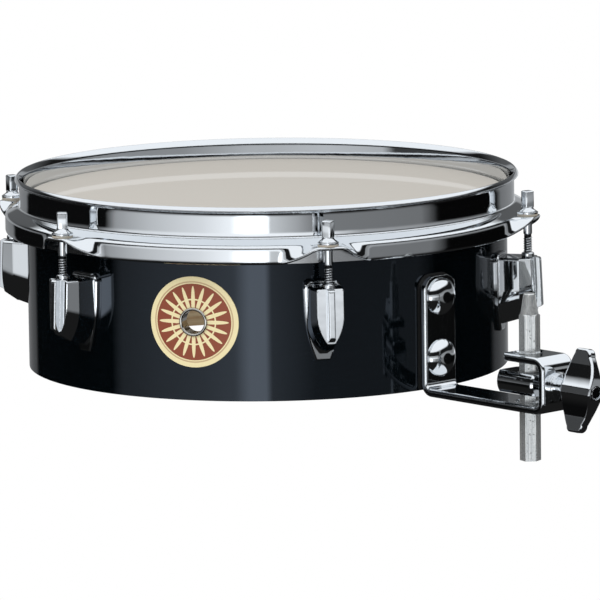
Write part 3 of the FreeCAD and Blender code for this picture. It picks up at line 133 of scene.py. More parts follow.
def ramp(tree: bpy.types.NodeTree, factor: bpy.types.NodeSocket,
         stops: Sequence[tuple[float, Colour]], mode: str = "LINEAR") -> bpy.types.NodeSocket:
    """Colour ramp over a factor.

    Args:
        tree: Node tree that gets the ramp.
        factor: Socket that drives it.
        stops: Positions from 0 to 1 with their colours.
        mode: Interpolation between the stops.

    Returns:
        The ramp's colour output.
    """
    node = add_node(tree, "ValToRGB", {"Fac": factor})
    node.color_ramp.interpolation = mode
    elements = node.color_ramp.elements
    while len(elements) < len(stops):
        elements.new(1.0)
    for element, (position, colour) in zip(elements, stops):
        element.position = position
        element.color = colour
    return node.outputs["Color"]


def grey(value: float) -> Colour:
    """Linear grey, 0 for black and 1 for white."""
    return (value, value, value, 1.0)


def new_material(name: str) -> tuple[bpy.types.Material, bpy.types.NodeTree, bpy.types.Node]:
    """Empty node material with a Principled shader.

    Args:
        name: Name of the finish.

    Returns:
        The material, its tree and its shader.
    """
    material = bpy.data.materials.new(name)
    material.use_nodes = True
    tree = material.node_tree
    tree.nodes.clear()
    shader = add_node(tree, "BsdfPrincipled")
    add_node(tree, "OutputMaterial", {"Surface": shader.outputs["BSDF"]})
    return material, tree, shader


def fill(tree: bpy.types.NodeTree, shader: bpy.types.Node, values: dict) -> None:
    """Sets or links several sockets of a shader.

    Args:
        tree: Tree that holds the shader.
        shader: The shader.
        values: Socket names with values or sockets.
    """
    for name, value in values.items():
        if isinstance(value, bpy.types.NodeSocket):
            tree.links.new(value, shader.inputs[name])
        else:
            shader.inputs[name].default_value = value


def mapped(tree: bpy.types.NodeTree, location: Sequence[float] = (0, 0, 0),
           rotation: Sequence[float] = (0, 0, 0),
           scale: Sequence[float] = (1, 1, 1)) -> bpy.types.NodeSocket:
    """Object coordinates through a Mapping node.

    Args:
        tree: Tree that gets the nodes.
        location: Shift in metres, after the turn and scale.
        rotation: Turn in radians.
        scale: Scale per axis.

    Returns:
        The mapped vector.
    """
    source = add_node(tree, "TexCoord").outputs["Object"]
    node = add_node(tree, "Mapping", {
        "Vector": source, "Location": location, "Rotation": rotation, "Scale": scale})
    return node.outputs["Vector"]


def math_node(tree: bpy.types.NodeTree, operation: str, first: object, second: object = 0.0,
              third: float = 0.5) -> bpy.types.NodeSocket:
    """One step of arithmetic.

    Args:
        tree: Tree that gets the node.
        operation: Name of the operation.
        first: First value or socket.
        second: Second value or socket.
        third: What a MULTIPLY_ADD adds.

    Returns:
        The result.
    """
    inputs = {0: first, 1: second, 2: third}
    return add_node(tree, "Math", inputs, operation=operation).outputs[0]


def round_the_drum(tree: bpy.types.NodeTree) -> tuple[bpy.types.NodeSocket, ...]:
    """Azimuth, radius and height about the drum axis, from Object coordinates.

    Args:
        tree: Tree that gets the nodes.

    Returns:
        Azimuth in radians, radius in metres and height in metres above the shell's edge.
    """
    split = add_node(tree, "SeparateXYZ", {"Vector": mapped(tree, (-AXIS.x, -AXIS.y, -BOTTOM_Z))})
    x, y, z = (split.outputs[i] for i in range(3))
    angle = math_node(tree, "ARCTAN2", y, x)
    flat = add_node(tree, "CombineXYZ", {0: x, 1: y})
    length = add_node(tree, "VectorMath", {0: flat.outputs[0]}, operation="LENGTH")
    return angle, length.outputs["Value"], z


# ---- Finishes ------------------------------------------------------------------------------------
@dataclass(frozen=True)
class PolishedChrome:
    """Bright chrome plate on steel or zinc: a neutral mirror, its edges rounded by the buff."""

    name: str = "polished_chrome"
    colour: str = "#E6E9EC"
    roughness: float = 0.035
    waviness: float = 0.04
    edge_r: float = 0.55 * MM

    def material(self) -> bpy.types.Material:
        """Builds the finish."""
        material, tree, shader = new_material(self.name)
        # buffing leaves waves some 8 mm long, and a haze in patches of 15 mm
        wave = add_node(tree, "TexNoise", {"Vector": mapped(tree), "Scale": 120.0, "Detail": 1.0})
        haze = add_node(tree, "TexNoise", {"Vector": mapped(tree), "Scale": 65.0, "Detail": 3.0})
        edge = add_node(tree, "Bevel", {"Radius": self.edge_r}, samples=4)
        bump = add_node(tree, "Bump", {
            "Height": wave.outputs["Fac"], "Strength": self.waviness, "Distance": 0.4 * MM,
            "Normal": edge.outputs["Normal"]})
        rough = add_node(tree, "MapRange", {
            "Value": haze.outputs["Fac"], "To Min": 0.5 * self.roughness,
            "To Max": 1.5 * self.roughness})
        fill(tree, shader, {
            "Base Color": srgb(self.colour), "Metallic": 1.0,
            "Roughness": rough.outputs["Result"], "Normal": bump.outputs["Normal"]})
        return material


@dataclass(frozen=True)
class DrawnSteel:
    """Cold drawn bar under zinc: fine streaks along the bar and small dark pits."""

    name: str = "drawn_zinc_steel"
    colour: str = "#EDEEEC"
    shade: str = "#A9AEB1"
    streak_pitch_mm: float = 0.7
    metal: float = 0.75
    roughness: float = 0.27

    def material(self) -> bpy.types.Material:
        """Builds the finish."""
        material, tree, shader = new_material(self.name)
        across = 1 / (self.streak_pitch_mm * MM)
        streaks = add_node(tree, "TexNoise", {
            "Vector": mapped(tree, scale=(across, across, across / 60)), "Scale": 1.0,
            "Detail": 4.0, "Roughness": 0.6})
        pits = add_node(tree, "TexNoise", {
            "Vector": mapped(tree), "Scale": 700.0, "Detail": 2.0})
        dark = ramp(tree, pits.outputs["Fac"], [(0.0, grey(0.25)), (0.3, grey(0.45)), (0.36, grey(1))])
        tone = ramp(tree, streaks.outputs["Fac"], [(0.25, srgb(self.shade)), (0.72, srgb(self.colour))])
        mix = add_node(tree, "Mix", {0: 1.0, 6: tone, 7: dark}, data_type="RGBA",
                       blend_type="MULTIPLY")
        bump = add_node(tree, "Bump", {
            "Height": streaks.outputs["Fac"], "Strength": 0.25, "Distance": 0.1 * MM})
        fill(tree, shader, {
            "Base Color": mix.outputs[2], "Metallic": self.metal, "Roughness": self.roughness,
            "Normal": bump.outputs["Normal"]})
        return material


@dataclass(frozen=True)
class PlainMetal:
    """Plated or rolled metal with a soft grain, for fasteners, wires and sheet parts."""

    name: str
    colour: str
    roughness: float
    grain_mm: float = 0.5
    grain_depth: float = 0.1

    def material(self) -> bpy.types.Material:
        """Builds the finish."""
        material, tree, shader = new_material(self.name)
        grain = add_node(tree, "TexNoise", {
            "Vector": mapped(tree), "Scale": 1 / (self.grain_mm * MM), "Detail": 3.0})
        bump = add_node(tree, "Bump", {
            "Height": grain.outputs["Fac"], "Strength": self.grain_depth, "Distance": 0.1 * MM})
        rough = add_node(tree, "MapRange", {
            "Value": grain.outputs["Fac"], "To Min": 0.7 * self.roughness,
            "To Max": 1.3 * self.roughness})
        fill(tree, shader, {
            "Base Color": srgb(self.colour), "Metallic": 1.0,
            "Roughness": rough.outputs["Result"], "Normal": bump.outputs["Normal"]})
        return material


@dataclass(frozen=True)
class HairlineWrap:
    """Gloss black wrap: a mirror with a cold sheen over hairlines that run round the shell."""

    name: str = "black_hairline_wrap"
    ground: str = "#020507"
    line: str = "#181E25"
    sheen: str = "#CBD9EC"
    line_pitch_mm: float = 0.8
    roughness: float = 0.05

    def material(self) -> bpy.types.Material:
        """Builds the finish."""
        material, tree, shader = new_material(self.name)
        angle, _, height = round_the_drum(tree)
        # the real hairlines are finer; they are drawn 0.8 mm apart so that they show
        fine = 1 / (self.line_pitch_mm * MM)
        place = add_node(tree, "CombineXYZ", {
            0: math_node(tree, "MULTIPLY", angle, 9.0), 1: math_node(tree, "MULTIPLY", height, fine)})
        lines = add_node(tree, "TexNoise", {
            "Vector": place.outputs[0], "Scale": 1.0, "Detail": 3.0, "Roughness": 0.7})
        tone = ramp(tree, lines.outputs["Fac"], [
            (0.45, srgb(self.ground)), (0.65, srgb("#05080B")), (0.8, srgb(self.line))])
        bump = add_node(tree, "Bump", {
            "Height": lines.outputs["Fac"], "Strength": 0.08, "Distance": 0.05 * MM})
        fill(tree, shader, {
            "Base Color": tone, "Roughness": self.roughness, "Normal": bump.outputs["Normal"],
            "Specular Tint": srgb(self.sheen), "Specular IOR Level": 0.6})
        return material


@dataclass(frozen=True)
class MaplePly:
    """Oiled ply: rotary-cut grain runs round the wall, and the edge shows the layers."""

    name: str = "maple_ply"
    pale: str = "#E3CDA4"
    dark: str = "#C49E6C"
    plies: int = 7
    inner_r: float = 143.0 * MM
    grain_mm: float = 3.2

    def material(self) -> bpy.types.Material:
        """Builds the finish."""
        material, tree, shader = new_material(self.name)
        angle, radius, height = round_the_drum(tree)
        place = add_node(tree, "CombineXYZ", {
            0: math_node(tree, "MULTIPLY", angle, 4.0),
            1: math_node(tree, "MULTIPLY", height, 1 / (self.grain_mm * MM))})
        grain = add_node(tree, "TexNoise", {
            "Vector": place.outputs[0], "Scale": 1.0, "Detail": 5.0, "Distortion": 0.6})
        tone = ramp(tree, grain.outputs["Fac"], [(0.35, srgb(self.pale)), (0.7, srgb(self.dark))])
        wall = (SHELL_R - self.inner_r) / self.plies
        depth = math_node(tree, "SUBTRACT", radius, self.inner_r)
        layer = math_node(tree, "PINGPONG", depth, wall)
        edge = ramp(tree, math_node(tree, "DIVIDE", layer, wall), [
            (0.1, grey(0.62)), (0.3, grey(1.0)), (0.9, grey(0.86))])
        mix = add_node(tree, "Mix", {0: 1.0, 6: tone, 7: edge}, data_type="RGBA",
                       blend_type="MULTIPLY")
        bump = add_node(tree, "Bump", {
            "Height": grain.outputs["Fac"], "Strength": 0.2, "Distance": 0.1 * MM})
        fill(tree, shader, {
            "Base Color": mix.outputs[2], "Roughness": 0.45, "Normal": bump.outputs["Normal"],
            "Coat Weight": 0.15, "Coat Roughness": 0.3})
        return material


@dataclass(frozen=True)
class CoatedFilm:
    """Polyester film with a glossy cream coat: it mirrors the hoop at a low angle."""

    name: str = "cream_head_film"
    colour: str = "#C4C0B9"

    def material(self) -> bpy.types.Material:
        """Builds the finish."""
        material, tree, shader = new_material(self.name)
        # slight ripple of a stretched film, 30 mm long, and a fine coat texture drawn at 0.6 mm
        ripple = add_node(tree, "TexNoise", {"Vector": mapped(tree), "Scale": 33.0, "Detail": 1.0})
        coat = add_node(tree, "TexNoise", {"Vector": mapped(tree), "Scale": 1600.0, "Detail": 1.0})
        bump = add_node(tree, "Bump", {
            "Height": ripple.outputs["Fac"], "Strength": 0.05, "Distance": 0.2 * MM})
        rough = add_node(tree, "MapRange", {
            "Value": coat.outputs["Fac"], "To Min": 0.05, "To Max": 0.1})
        fill(tree, shader, {
            "Base Color": srgb(self.colour), "Roughness": rough.outputs["Result"],
            "Normal": bump.outputs["Normal"], "Specular IOR Level": 0.0,
            "Coat Weight": 0.3, "Coat Roughness": 0.03})
        return material


@dataclass(frozen=True)
class BadgePrint:
    """Printed sheet: a cream rim, a copper field, and a ring of cream sun rays."""

    name: str = "badge_print"
    cream: str = "#E2D5A6"
    copper: str = "#843C20"
    rays: int = 20
    ray_taper: float = 1.9
    ray_start: float = -0.5
    azimuth: float = 30.0
    radius: float = 27.8 * MM

    def material(self) -> bpy.types.Material:
        """Builds the finish."""
        material, tree, shader = new_material(self.name)
        centre = middle("badge_plate")
        turn = math.radians(-self.azimuth)
        turned = Matrix.Rotation(turn, 3, "Z") @ centre
        place = mapped(tree, -Vector((turned.x, 0.0, centre.z)), (0.0, 0.0, turn))
        split = add_node(tree, "SeparateXYZ", {"Vector": place})
        across, up = split.outputs["X"], split.outputs["Z"]
        flat = add_node(tree, "CombineXYZ", {0: across, 1: up})
        length = add_node(tree, "VectorMath", {0: flat.outputs[0]}, operation="LENGTH")
        share = math_node(tree, "DIVIDE", length.outputs["Value"], self.radius)
        angle = math_node(tree, "ARCTAN2", up, across)
        wedge = math_node(tree, "MULTIPLY", angle, self.rays)
        beam = math_node(tree, "MULTIPLY_ADD", math_node(tree, "COSINE", wedge), 0.5, 0.5)
        taper = math_node(tree, "MULTIPLY_ADD", share, self.ray_taper, self.ray_start)
        is_ray = math_node(tree, "GREATER_THAN", beam, taper)
        cream, copper = srgb(self.cream), srgb(self.copper)
        field = add_node(tree, "Mix", {0: is_ray, 6: copper, 7: cream}, data_type="RGBA")
        # two hub rings, the rays' field, a fine line and the rim, as shares of the radius
        rings = ramp(tree, share, [
            (0.0, grey(0)), (0.48, grey(1)), (0.51, grey(0)), (0.84, grey(1)), (0.865, grey(0.5)),
            (0.895, grey(1))], "CONSTANT")
        print_tone = add_node(tree, "Mix", {0: rings, 6: field.outputs[2], 7: cream}, data_type="RGBA")
        fill(tree, shader, {
            "Base Color": print_tone.outputs[2], "Metallic": 0.0, "Roughness": 0.32,
            "Coat Weight": 0.2, "Coat Roughness": 0.12})
        return material


@dataclass(frozen=True)
class Moulding:
    """Moulded plastic or rubber with a fine spark-eroded grain."""

    name: str
    colour: str
    roughness: float
    grain_mm: float = 0.4
    subsurface: float = 0.0

    def material(self) -> bpy.types.Material:
        """Builds the finish."""
        material, tree, shader = new_material(self.name)
        grain = add_node(tree, "TexNoise", {
            "Vector": mapped(tree), "Scale": 1 / (self.grain_mm * MM), "Detail": 2.0})
        bump = add_node(tree, "Bump", {
            "Height": grain.outputs["Fac"], "Strength": 0.2, "Distance": 0.08 * MM})
        fill(tree, shader, {
            "Base Color": srgb(self.colour), "Roughness": self.roughness,
            "Normal": bump.outputs["Normal"], "Subsurface Weight": self.subsurface,
            "Subsurface Scale": 1.0 * MM})
        return material


class Finish(Enum):
    """Named finishes and the class that makes each one."""

    CHROME = PolishedChrome()
    # the dark grey on the thread's root between the ridges is painted shade of the grooves
    THREAD_ROOT_SHADE = PlainMetal("thread_root_painted_shade", "#2B2C2E", 0.4, 0.4, 0.15)
    POST = DrawnSteel()
    ZINC = PlainMetal("bright_zinc", "#C9CDD2", 0.24, 0.6, 0.08)
    ALUMINIUM = PlainMetal("rolled_aluminium", "#D2D4D6", 0.3, 0.8, 0.1)
    EXTRUSION = PlainMetal("bright_extrusion", "#E4E6E8", 0.16, 0.8, 0.05)
    NICKEL = PlainMetal("nickel_eyelet", "#DAD6CE", 0.12, 1.0, 0.04)
    WIRE = PlainMetal("steel_snare_wire", "#C6C8CA", 0.2, 0.5, 0.05)
    WRAP = HairlineWrap()
    PLY = MaplePly()
    FILM = CoatedFilm()
    BADGE = BadgePrint()
    NYLON = Moulding("natural_nylon", "#A39C90", 0.3, 0.5, 0.1)
    RUBBER = Moulding("black_rubber", "#141414", 0.6)
    SADDLE = Moulding("black_acetal", "#17181A", 0.4)


class FinishShelf:
    """Builds each finish once."""

    def __init__(self) -> None:
        """Starts with nothing built."""
        self.built: dict[Finish, bpy.types.Material] = {}

    def get(self, finish: Finish) -> bpy.types.Material:
        """Material of a finish.

        Args:
            finish: Which finish.

        Returns:
            Its material, built on first use.
        """
        if finish not in self.built:
            self.built[finish] = finish.value.material()
        return self.built[finish]


SHELF = FinishShelf()


def dress(names: Iterable[str], finish: Finish) -> None:
    """Gives CAD nodes a finish.

    Args:
        names: Node names.
        finish: The finish.
    """
    for name in names:
        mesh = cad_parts[name].data
        mesh.materials.clear()
        mesh.materials.append(SHELF.get(finish))
        LOG.info("%s: %s", name, finish.value.name)


# ---- Mesh helpers --------------------------------------------------------------------------------
def make_piece(name: str, mesh: bmesh.types.BMesh, finishes: Sequence[Finish], body: str,
               smooth_angle: float = 35.0) -> bpy.types.Object:
    """Turns a bmesh into a piece that rides on a body.

    Args:
        name: Name of the piece.
        mesh: Its bmesh, which is freed.
        finishes: Its finishes, in the order of its faces' material indices.
        body: CAD body that it rides on.
        smooth_angle: Edges sharper than this stay sharp, in degrees.

    Returns:
        The new object.
    """
    data = bpy.data.meshes.new(name)
    for face in mesh.faces:
        face.smooth = True
    limit = math.radians(smooth_angle)
    for edge in mesh.edges:
        if len(edge.link_faces) == 2 and edge.calc_face_angle(0.0) > limit:
            edge.smooth = False
    mesh.to_mesh(data)
    mesh.free()
    for finish in finishes:
        data.materials.append(SHELF.get(finish))
    piece = bpy.data.objects.new(name, data)
    bpy.context.scene.collection.objects.link(piece)
    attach(piece, body)
    LOG.info("%s: %d faces on %s", name, len(data.polygons), body)
    return piece


def turned_part(profile: Sequence[Point], steps: int = 48) -> bmesh.types.BMesh:
    """Solid of revolution about Z from a profile that starts and ends on the axis.

    Args:
        profile: Radius and height of each point.
        steps: Segments round the axis.

    Returns:
        A closed bmesh.
    """
    mesh = bmesh.new()
    verts = [mesh.verts.new((r, 0.0, z)) for r, z in profile]
    edges = [mesh.edges.new(pair) for pair in zip(verts, verts[1:])]
    bmesh.ops.spin(mesh, geom=verts + edges, cent=(0, 0, 0), axis=(0, 0, 1), dvec=(0, 0, 0),
                   angle=math.tau, steps=steps, use_merge=True, use_normal_flip=False,
                   use_duplicate=False)
    bmesh.ops.remove_doubles(mesh, verts=mesh.verts[:], dist=1e-6)
    bmesh.ops.recalc_face_normals(mesh, faces=mesh.faces[:])
    return mesh


def helix(section: Sequence[Point], pitch: float, turns: float, z: float,
          steps_per_turn: int) -> bmesh.types.BMesh:
    """Sweeps a small closed section along a helix about Z.

    Args:
        section: Radius and height of the section's corners, counted from the start height.
        pitch: Rise per turn.
        turns: Number of turns.
        z: Start height.
        steps_per_turn: Segments per turn.

    Returns:
        A closed bmesh.
    """
    mesh = bmesh.new()
    verts = [mesh.verts.new((r, 0.0, z + h)) for r, h in section]
    face = mesh.faces.new(verts)
    steps = max(1, int(turns * steps_per_turn))
    bmesh.ops.spin(
        mesh, geom=[face], cent=(0, 0, 0), axis=(0, 0, 1),
        dvec=(0, 0, pitch * turns / steps), angle=math.tau * turns, steps=steps,
        use_merge=False, use_normal_flip=False, use_duplicate=False)
    bmesh.ops.remove_doubles(mesh, verts=mesh.verts[:], dist=1e-7)
    bmesh.ops.recalc_face_normals(mesh, faces=mesh.faces[:])
    return mesh


def join(target: bmesh.types.BMesh, other: bmesh.types.BMesh) -> None:
    """Adds a second bmesh to a first and frees the second.

    Args:
        target: Mesh that grows.
        other: Mesh that is added.
    """
    data = bpy.data.meshes.new("part")
    other.to_mesh(data)
    target.from_mesh(data)
    bpy.data.meshes.remove(data)
    other.free()


def place(mesh: bmesh.types.BMesh, matrix: Matrix) -> None:
    """Moves every vertex of a bmesh.

    Args:
        mesh: The bmesh.
        matrix: The transform.
    """
    bmesh.ops.transform(mesh, matrix=matrix, verts=mesh.verts[:])


# ---- Sub-assemblies -------------------------------------------------------------------------------
@dataclass
class PressedHoop:
    """Pressed steel hoop: rolled lip, upright wall, sloping shoulder, and a skirt whose lower
    flange swings out to a flat ear at each rod."""

    steps: int = 720
    ears: int = 6
    sheet: float = 2.3 * MM
    # the shoulder's top face from here on, and its fall in degrees
    start: Point = (158.0 * MM, 98.6 * MM)
    slope: float = 24.0
    shoulder_skirt: float = 4.155 * MM
    shoulder_ear: float = 3.86 * MM
    # lengths along the middle of the sheet: the bend, the skirt's flange and the ear's
    bend: float = 1.6 * MM
    drop: float = 8.24 * MM
    reach: float = 11.05 * MM
    waist: float = 2.2 * MM
    # distances along the rim from the rod: where the ear lies flat, and where the skirt is plain
    nose_w: float = 6.0 * MM
    flare_w: float = 28.0 * MM
    bend_steps: int = 5
    flat_steps: int = 4
    hem_steps: int = 6
    smooth_angle: float = 60.0
    # radius and height in mm, from the shoulder's underside up the inside and down the outside
    wall: Sequence[Point] = (
        (154.6, 97.7), (153.4, 98.3), (152.6, 99.2), (152.3, 100.5), (152.1, 102.0),
        (152.0, 104.2), (152.0, 106.3), (152.1, 108.2), (152.25, 110.0), (152.42, 112.0),
        (152.58, 113.5), (152.75, 115.1), (152.84, 115.7), (153.0, 116.15), (153.3, 116.7),
        (153.75, 117.45), (154.25, 118.2), (154.65, 118.75), (154.95, 119.1), (155.3, 119.2),
        (155.65, 119.05), (156.1, 118.6), (156.6, 117.95), (156.95, 117.35), (157.15, 116.9),
        (157.1, 116.5), (156.85, 116.2), (156.4, 116.05), (155.6, 115.95), (155.0, 115.7),
        (154.65, 115.3), (154.5, 114.7),
        (154.5, 112.0), (154.5, 108.5), (154.5, 105.0), (154.5, 101.4), (154.58, 100.8),
        (154.8, 100.3), (155.2, 99.9), (155.8, 99.6), (156.6, 99.25))

    def flange(self, upright: float) -> list[Point]:
        """Outline of shoulder and flange, from the top face round the hem to the underside.

        Args:
            upright: 1 where the flange hangs as a skirt, 0 where it lies flat as an ear.

        Returns:
            Radius and height of each point.
        """
        tilt = math.radians(self.slope)
        down = math.radians(90) * upright
        flat = 1 - upright
        half = self.sheet / 2
        r = self.start[0] - half * math.sin(tilt)
        z = self.start[1] - half * math.cos(tilt)
        line = [(r, z, tilt)]
        straight = upright * self.shoulder_skirt + flat * self.shoulder_ear
        length = upright * self.drop + flat * self.reach - 4 * self.waist * flat * upright
        legs = [(straight, tilt)]
        legs += [(self.bend / self.bend_steps, tilt + (down - tilt) * k / self.bend_steps)
                 for k in range(1, self.bend_steps + 1)]
        legs += [(length / self.flat_steps, down)] * self.flat_steps
        last = tilt
        for leg, angle in legs:
            r += leg * math.cos((last + angle) / 2)
            z -= leg * math.sin((last + angle) / 2)
            line.append((r, z, angle))
            last = angle
        top = [(r + half * math.sin(a), z + half * math.cos(a)) for r, z, a in line]
        under = [(r - half * math.sin(a), z - half * math.cos(a)) for r, z, a in line]
        turns = [math.pi * k / self.hem_steps for k in range(1, self.hem_steps)]
        hem = [(r + half * math.sin(down + t), z + half * math.cos(down + t)) for t in turns]
        return top + hem + under[::-1]

    def upright_at(self, angle: float) -> float:
        """How upright the flange stands at an angle about the axis.

        Args:
            angle: Angle from +X in radians.

        Returns:
            1 on the plain skirt, 0 on an ear's nose.
        """
        apart = math.tau / self.ears
        away = abs(angle % apart - apart / 2) * self.start[0]
        share = min(max((away - self.nose_w) / (self.flare_w - self.nose_w), 0.0), 1.0)
        return share * share * (3 - 2 * share)

    def build(self) -> None:
        """Makes the hoop as one piece that stands for the plain one."""
        mesh = bmesh.new()
        row = mesh.verts.layers.int.new("row")
        outline = [(r * MM, z * MM) for r, z in self.wall] + self.flange(1.0)
        verts = [mesh.verts.new((r, 0.0, z)) for r, z in outline]
        for index, vert in enumerate(verts):
            vert[row] = index
        edges = [mesh.edges.new(pair) for pair in zip(verts, verts[1:] + verts[:1])]
        bmesh.ops.spin(mesh, geom=verts + edges, cent=(0, 0, 0), axis=(0, 0, 1), dvec=(0, 0, 0),
                       angle=math.tau, steps=self.steps, use_merge=True, use_normal_flip=False,
                       use_duplicate=False)
        first = len(self.wall)
        shapes: dict[float, list[Point]] = {}
        for vert in mesh.verts:
            if vert[row] < first:
                continue
            angle = math.atan2(vert.co.y, vert.co.x)
            key = round(self.upright_at(angle), 5)
            if key not in shapes:
                shapes[key] = self.flange(key)
            r, z = shapes[key][vert[row] - first]
            vert.co = (r * math.cos(angle), r * math.sin(angle), z)
        bmesh.ops.remove_doubles(mesh, verts=mesh.verts[:], dist=1e-6)
        bmesh.ops.recalc_face_normals(mesh, faces=mesh.faces[:])
        place(mesh, Matrix.Translation((AXIS.x, AXIS.y, BOTTOM_Z)))
        piece = make_piece("pressed_hoop", mesh, (Finish.CHROME,), "hoop",
                           self.smooth_angle)
        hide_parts("batter_hoop")


@dataclass
class TensionRods:
    """Six key rods: rounded square head, bell collar, shank and a rolled thread."""

    count: int = 6
    shank_r: float = 2.7 * MM
    root_r: float = 2.25 * MM
    pitch: float = 1.5 * MM  # drawn coarser than the real 24 threads to the inch, to show
    thread_len: float = 38.0 * MM
    collar_r: float = 5.6 * MM
    collar_neck_r: float = 3.5 * MM
    collar_h: float = 3.0 * MM
    square: float = 6.35 * MM
    square_h: float = 10.1 * MM
    corner_r: float = 1.2 * MM
    crown_r: float = 1.0 * MM
    head_turn: float = -41.0
    thread_steps: int = 20

    def rod(self, low: float, high: float) -> bmesh.types.BMesh:
        """One rod about Z.

        Args:
            low: Height of its lower end.
            high: Height of its top.

        Returns:
            The rod as closed shells.
        """
        square_z = high - self.square_h
        collar_z = square_z - self.collar_h
        top = low + self.thread_len
        ease = 0.5 * MM
        mesh = turned_part([
            (0, low), (self.root_r * 0.85, low), (self.root_r, low + ease), (self.root_r, top),
            (self.shank_r, top + ease), (self.shank_r, collar_z - ease),
            (self.shank_r + ease, collar_z), (self.collar_r - 0.2 * MM, collar_z),
            (self.collar_r, collar_z + 0.2 * MM), (self.collar_r, collar_z + 0.5 * MM),
            (self.collar_r - 0.25 * MM, collar_z + 0.75 * MM),
            (self.collar_neck_r + 0.9 * MM, collar_z + 1.2 * MM),
            (self.collar_neck_r + 0.35 * MM, collar_z + 1.9 * MM),
            (self.collar_neck_r, square_z), (0, square_z)])
        # the faces along the thread take the dark root finish, which is painted shade of the grooves
        # between the ridges
        for face in mesh.faces:
            if low < face.calc_center_median().z < top:
                face.material_index = 1
        depth = self.shank_r - self.root_r
        half = 0.3 * self.pitch
        ridge = [(self.root_r - 0.05 * MM, -half), (self.root_r - 0.05 * MM, half),
                 (self.root_r + depth, 0.13 * self.pitch), (self.root_r + depth, -0.13 * self.pitch)]
        turns = (self.thread_len - 2 * self.pitch) / self.pitch
        join(mesh, helix(ridge, self.pitch, turns, low + self.pitch,
                         self.thread_steps))
        head = bmesh.new()
        bmesh.ops.create_cube(head, size=1.0)
        place(head, Matrix.Translation((0, 0, square_z + self.square_h / 2 - 0.1 * MM))
              @ Matrix.Diagonal((self.square, self.square, self.square_h, 1)))
        upright = [e for e in head.edges if abs(e.verts[0].co.z - e.verts[1].co.z) > self.crown_r]
        bmesh.ops.bevel(head, geom=upright, offset=self.corner_r,
                        affect="EDGES", segments=4, profile=0.5, material=-1)
        crown = [e for e in head.edges if min(v.co.z for v in e.verts) > high - self.crown_r]
        bmesh.ops.bevel(head, geom=crown, offset=self.crown_r,
                        affect="EDGES", segments=4, profile=0.5, material=-1)
        join(mesh, head)
        return mesh

    def build(self) -> None:
        """Makes the six rods and puts each on its own body."""
        for number in range(1, self.count + 1):
            node = f"tension_rod_{number}"
            low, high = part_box(node)
            centre = middle(node)
            mesh = self.rod(low.z, high.z)
            azimuth = math.radians(60 * (number - 1) + self.head_turn)
            place(mesh, Matrix.Translation((centre.x, centre.y, 0)) @ Matrix.Rotation(azimuth, 4, "Z"))
            piece = make_piece(f"threaded_rod_{number}", mesh, (Finish.CHROME, Finish.THREAD_ROOT_SHADE),
                               f"rod_{number}")
            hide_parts(node)


@dataclass
class SnareWires:
    """Coiled steel strands between the two end plates."""

    strands: int = 16
    coil_r: float = 0.62 * MM
    wire_r: float = 0.17 * MM
    pitch: float = 1.5 * MM
    straight: float = 5.0 * MM
    coil_steps: int = 9

    def build(self) -> None:
        """Makes all strands as one piece that stands for the plain rods."""
        low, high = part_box("snare_wires")
        centre = (low + high) / 2
        gap = (high.y - low.y - (high.z - low.z)) / (self.strands - 1)
        start = low.x + self.straight
        turns = (high.x - low.x - 2 * self.straight) / self.pitch
        section = [(self.coil_r + self.wire_r * math.cos(a), self.wire_r * math.sin(a))
                   for a in (0.0, math.tau / 3, 2 * math.tau / 3)]
        turn = Matrix.Rotation(math.radians(90), 4, "Y")
        coil = helix(section, self.pitch, turns, 0.0, self.coil_steps)
        place(coil, turn)
        mesh = bmesh.new()
        for index in range(self.strands):
            y = centre.y + (index - (self.strands - 1) / 2) * gap
            strand = coil.copy()
            place(strand, Matrix.Translation((start, y, centre.z)))
            join(mesh, strand)
            for x in (low.x, high.x - self.straight):
                end = bmesh.new()
                bmesh.ops.create_cone(end, cap_ends=True, segments=8, radius1=2 * self.wire_r,
                                      radius2=2 * self.wire_r, depth=self.straight)
                place(end, Matrix.Translation((x + self.straight / 2, y, centre.z - 0.4 * MM)) @ turn)
                join(mesh, end)
        coil.free()
        piece = make_piece("coiled_snare_wires", mesh, (Finish.WIRE,), "bridge")
        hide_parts("snare_wires")


@dataclass
class CarriedNodes:
    """Finishes of the CAD nodes that show as they are."""

    lugs: int = 6

    def dress(self) -> None:
        """Gives each node its finish."""
        dress([f"lug_{i}" for i in range(1, self.lugs + 1)], Finish.CHROME)
        dress(["bracket_plate", "bracket_bolts", "eyebolt", "wing_nut",
               "steel_washers", "lug_swivel_nuts", "clamp_washers", "throw_off_lever",
               "throw_off_housing", "lever_screw"], Finish.CHROME)
        dress(["vent_grommet"], Finish.NICKEL)
        dress(["mounting_post"], Finish.POST)
        dress(["lug_screws", "lug_screw_washers", "housing_screws", "housing_screw_washers",
               "bracket_nuts", "inner_back_plate", "bridge_pivot_pin", "cam_shaft",
               "throw_off_bush", "snare_tension_screw", "fixed_end_plate",
               "moving_end_plate"], Finish.ZINC)
        dress(["snare_bridge"], Finish.ALUMINIUM)
        dress(["flesh_hoop"], Finish.EXTRUSION)
        dress(["shell"], Finish.PLY)
        dress(["shell_wrap"], Finish.WRAP)
        dress(["batter_head"], Finish.FILM)
        dress(["badge_plate"], Finish.BADGE)
        dress(["nylon_washers"], Finish.NYLON)
        dress(["bracket_gasket"], Finish.RUBBER)
        dress(["fixed_saddle", "moving_saddle"], Finish.SADDLE)


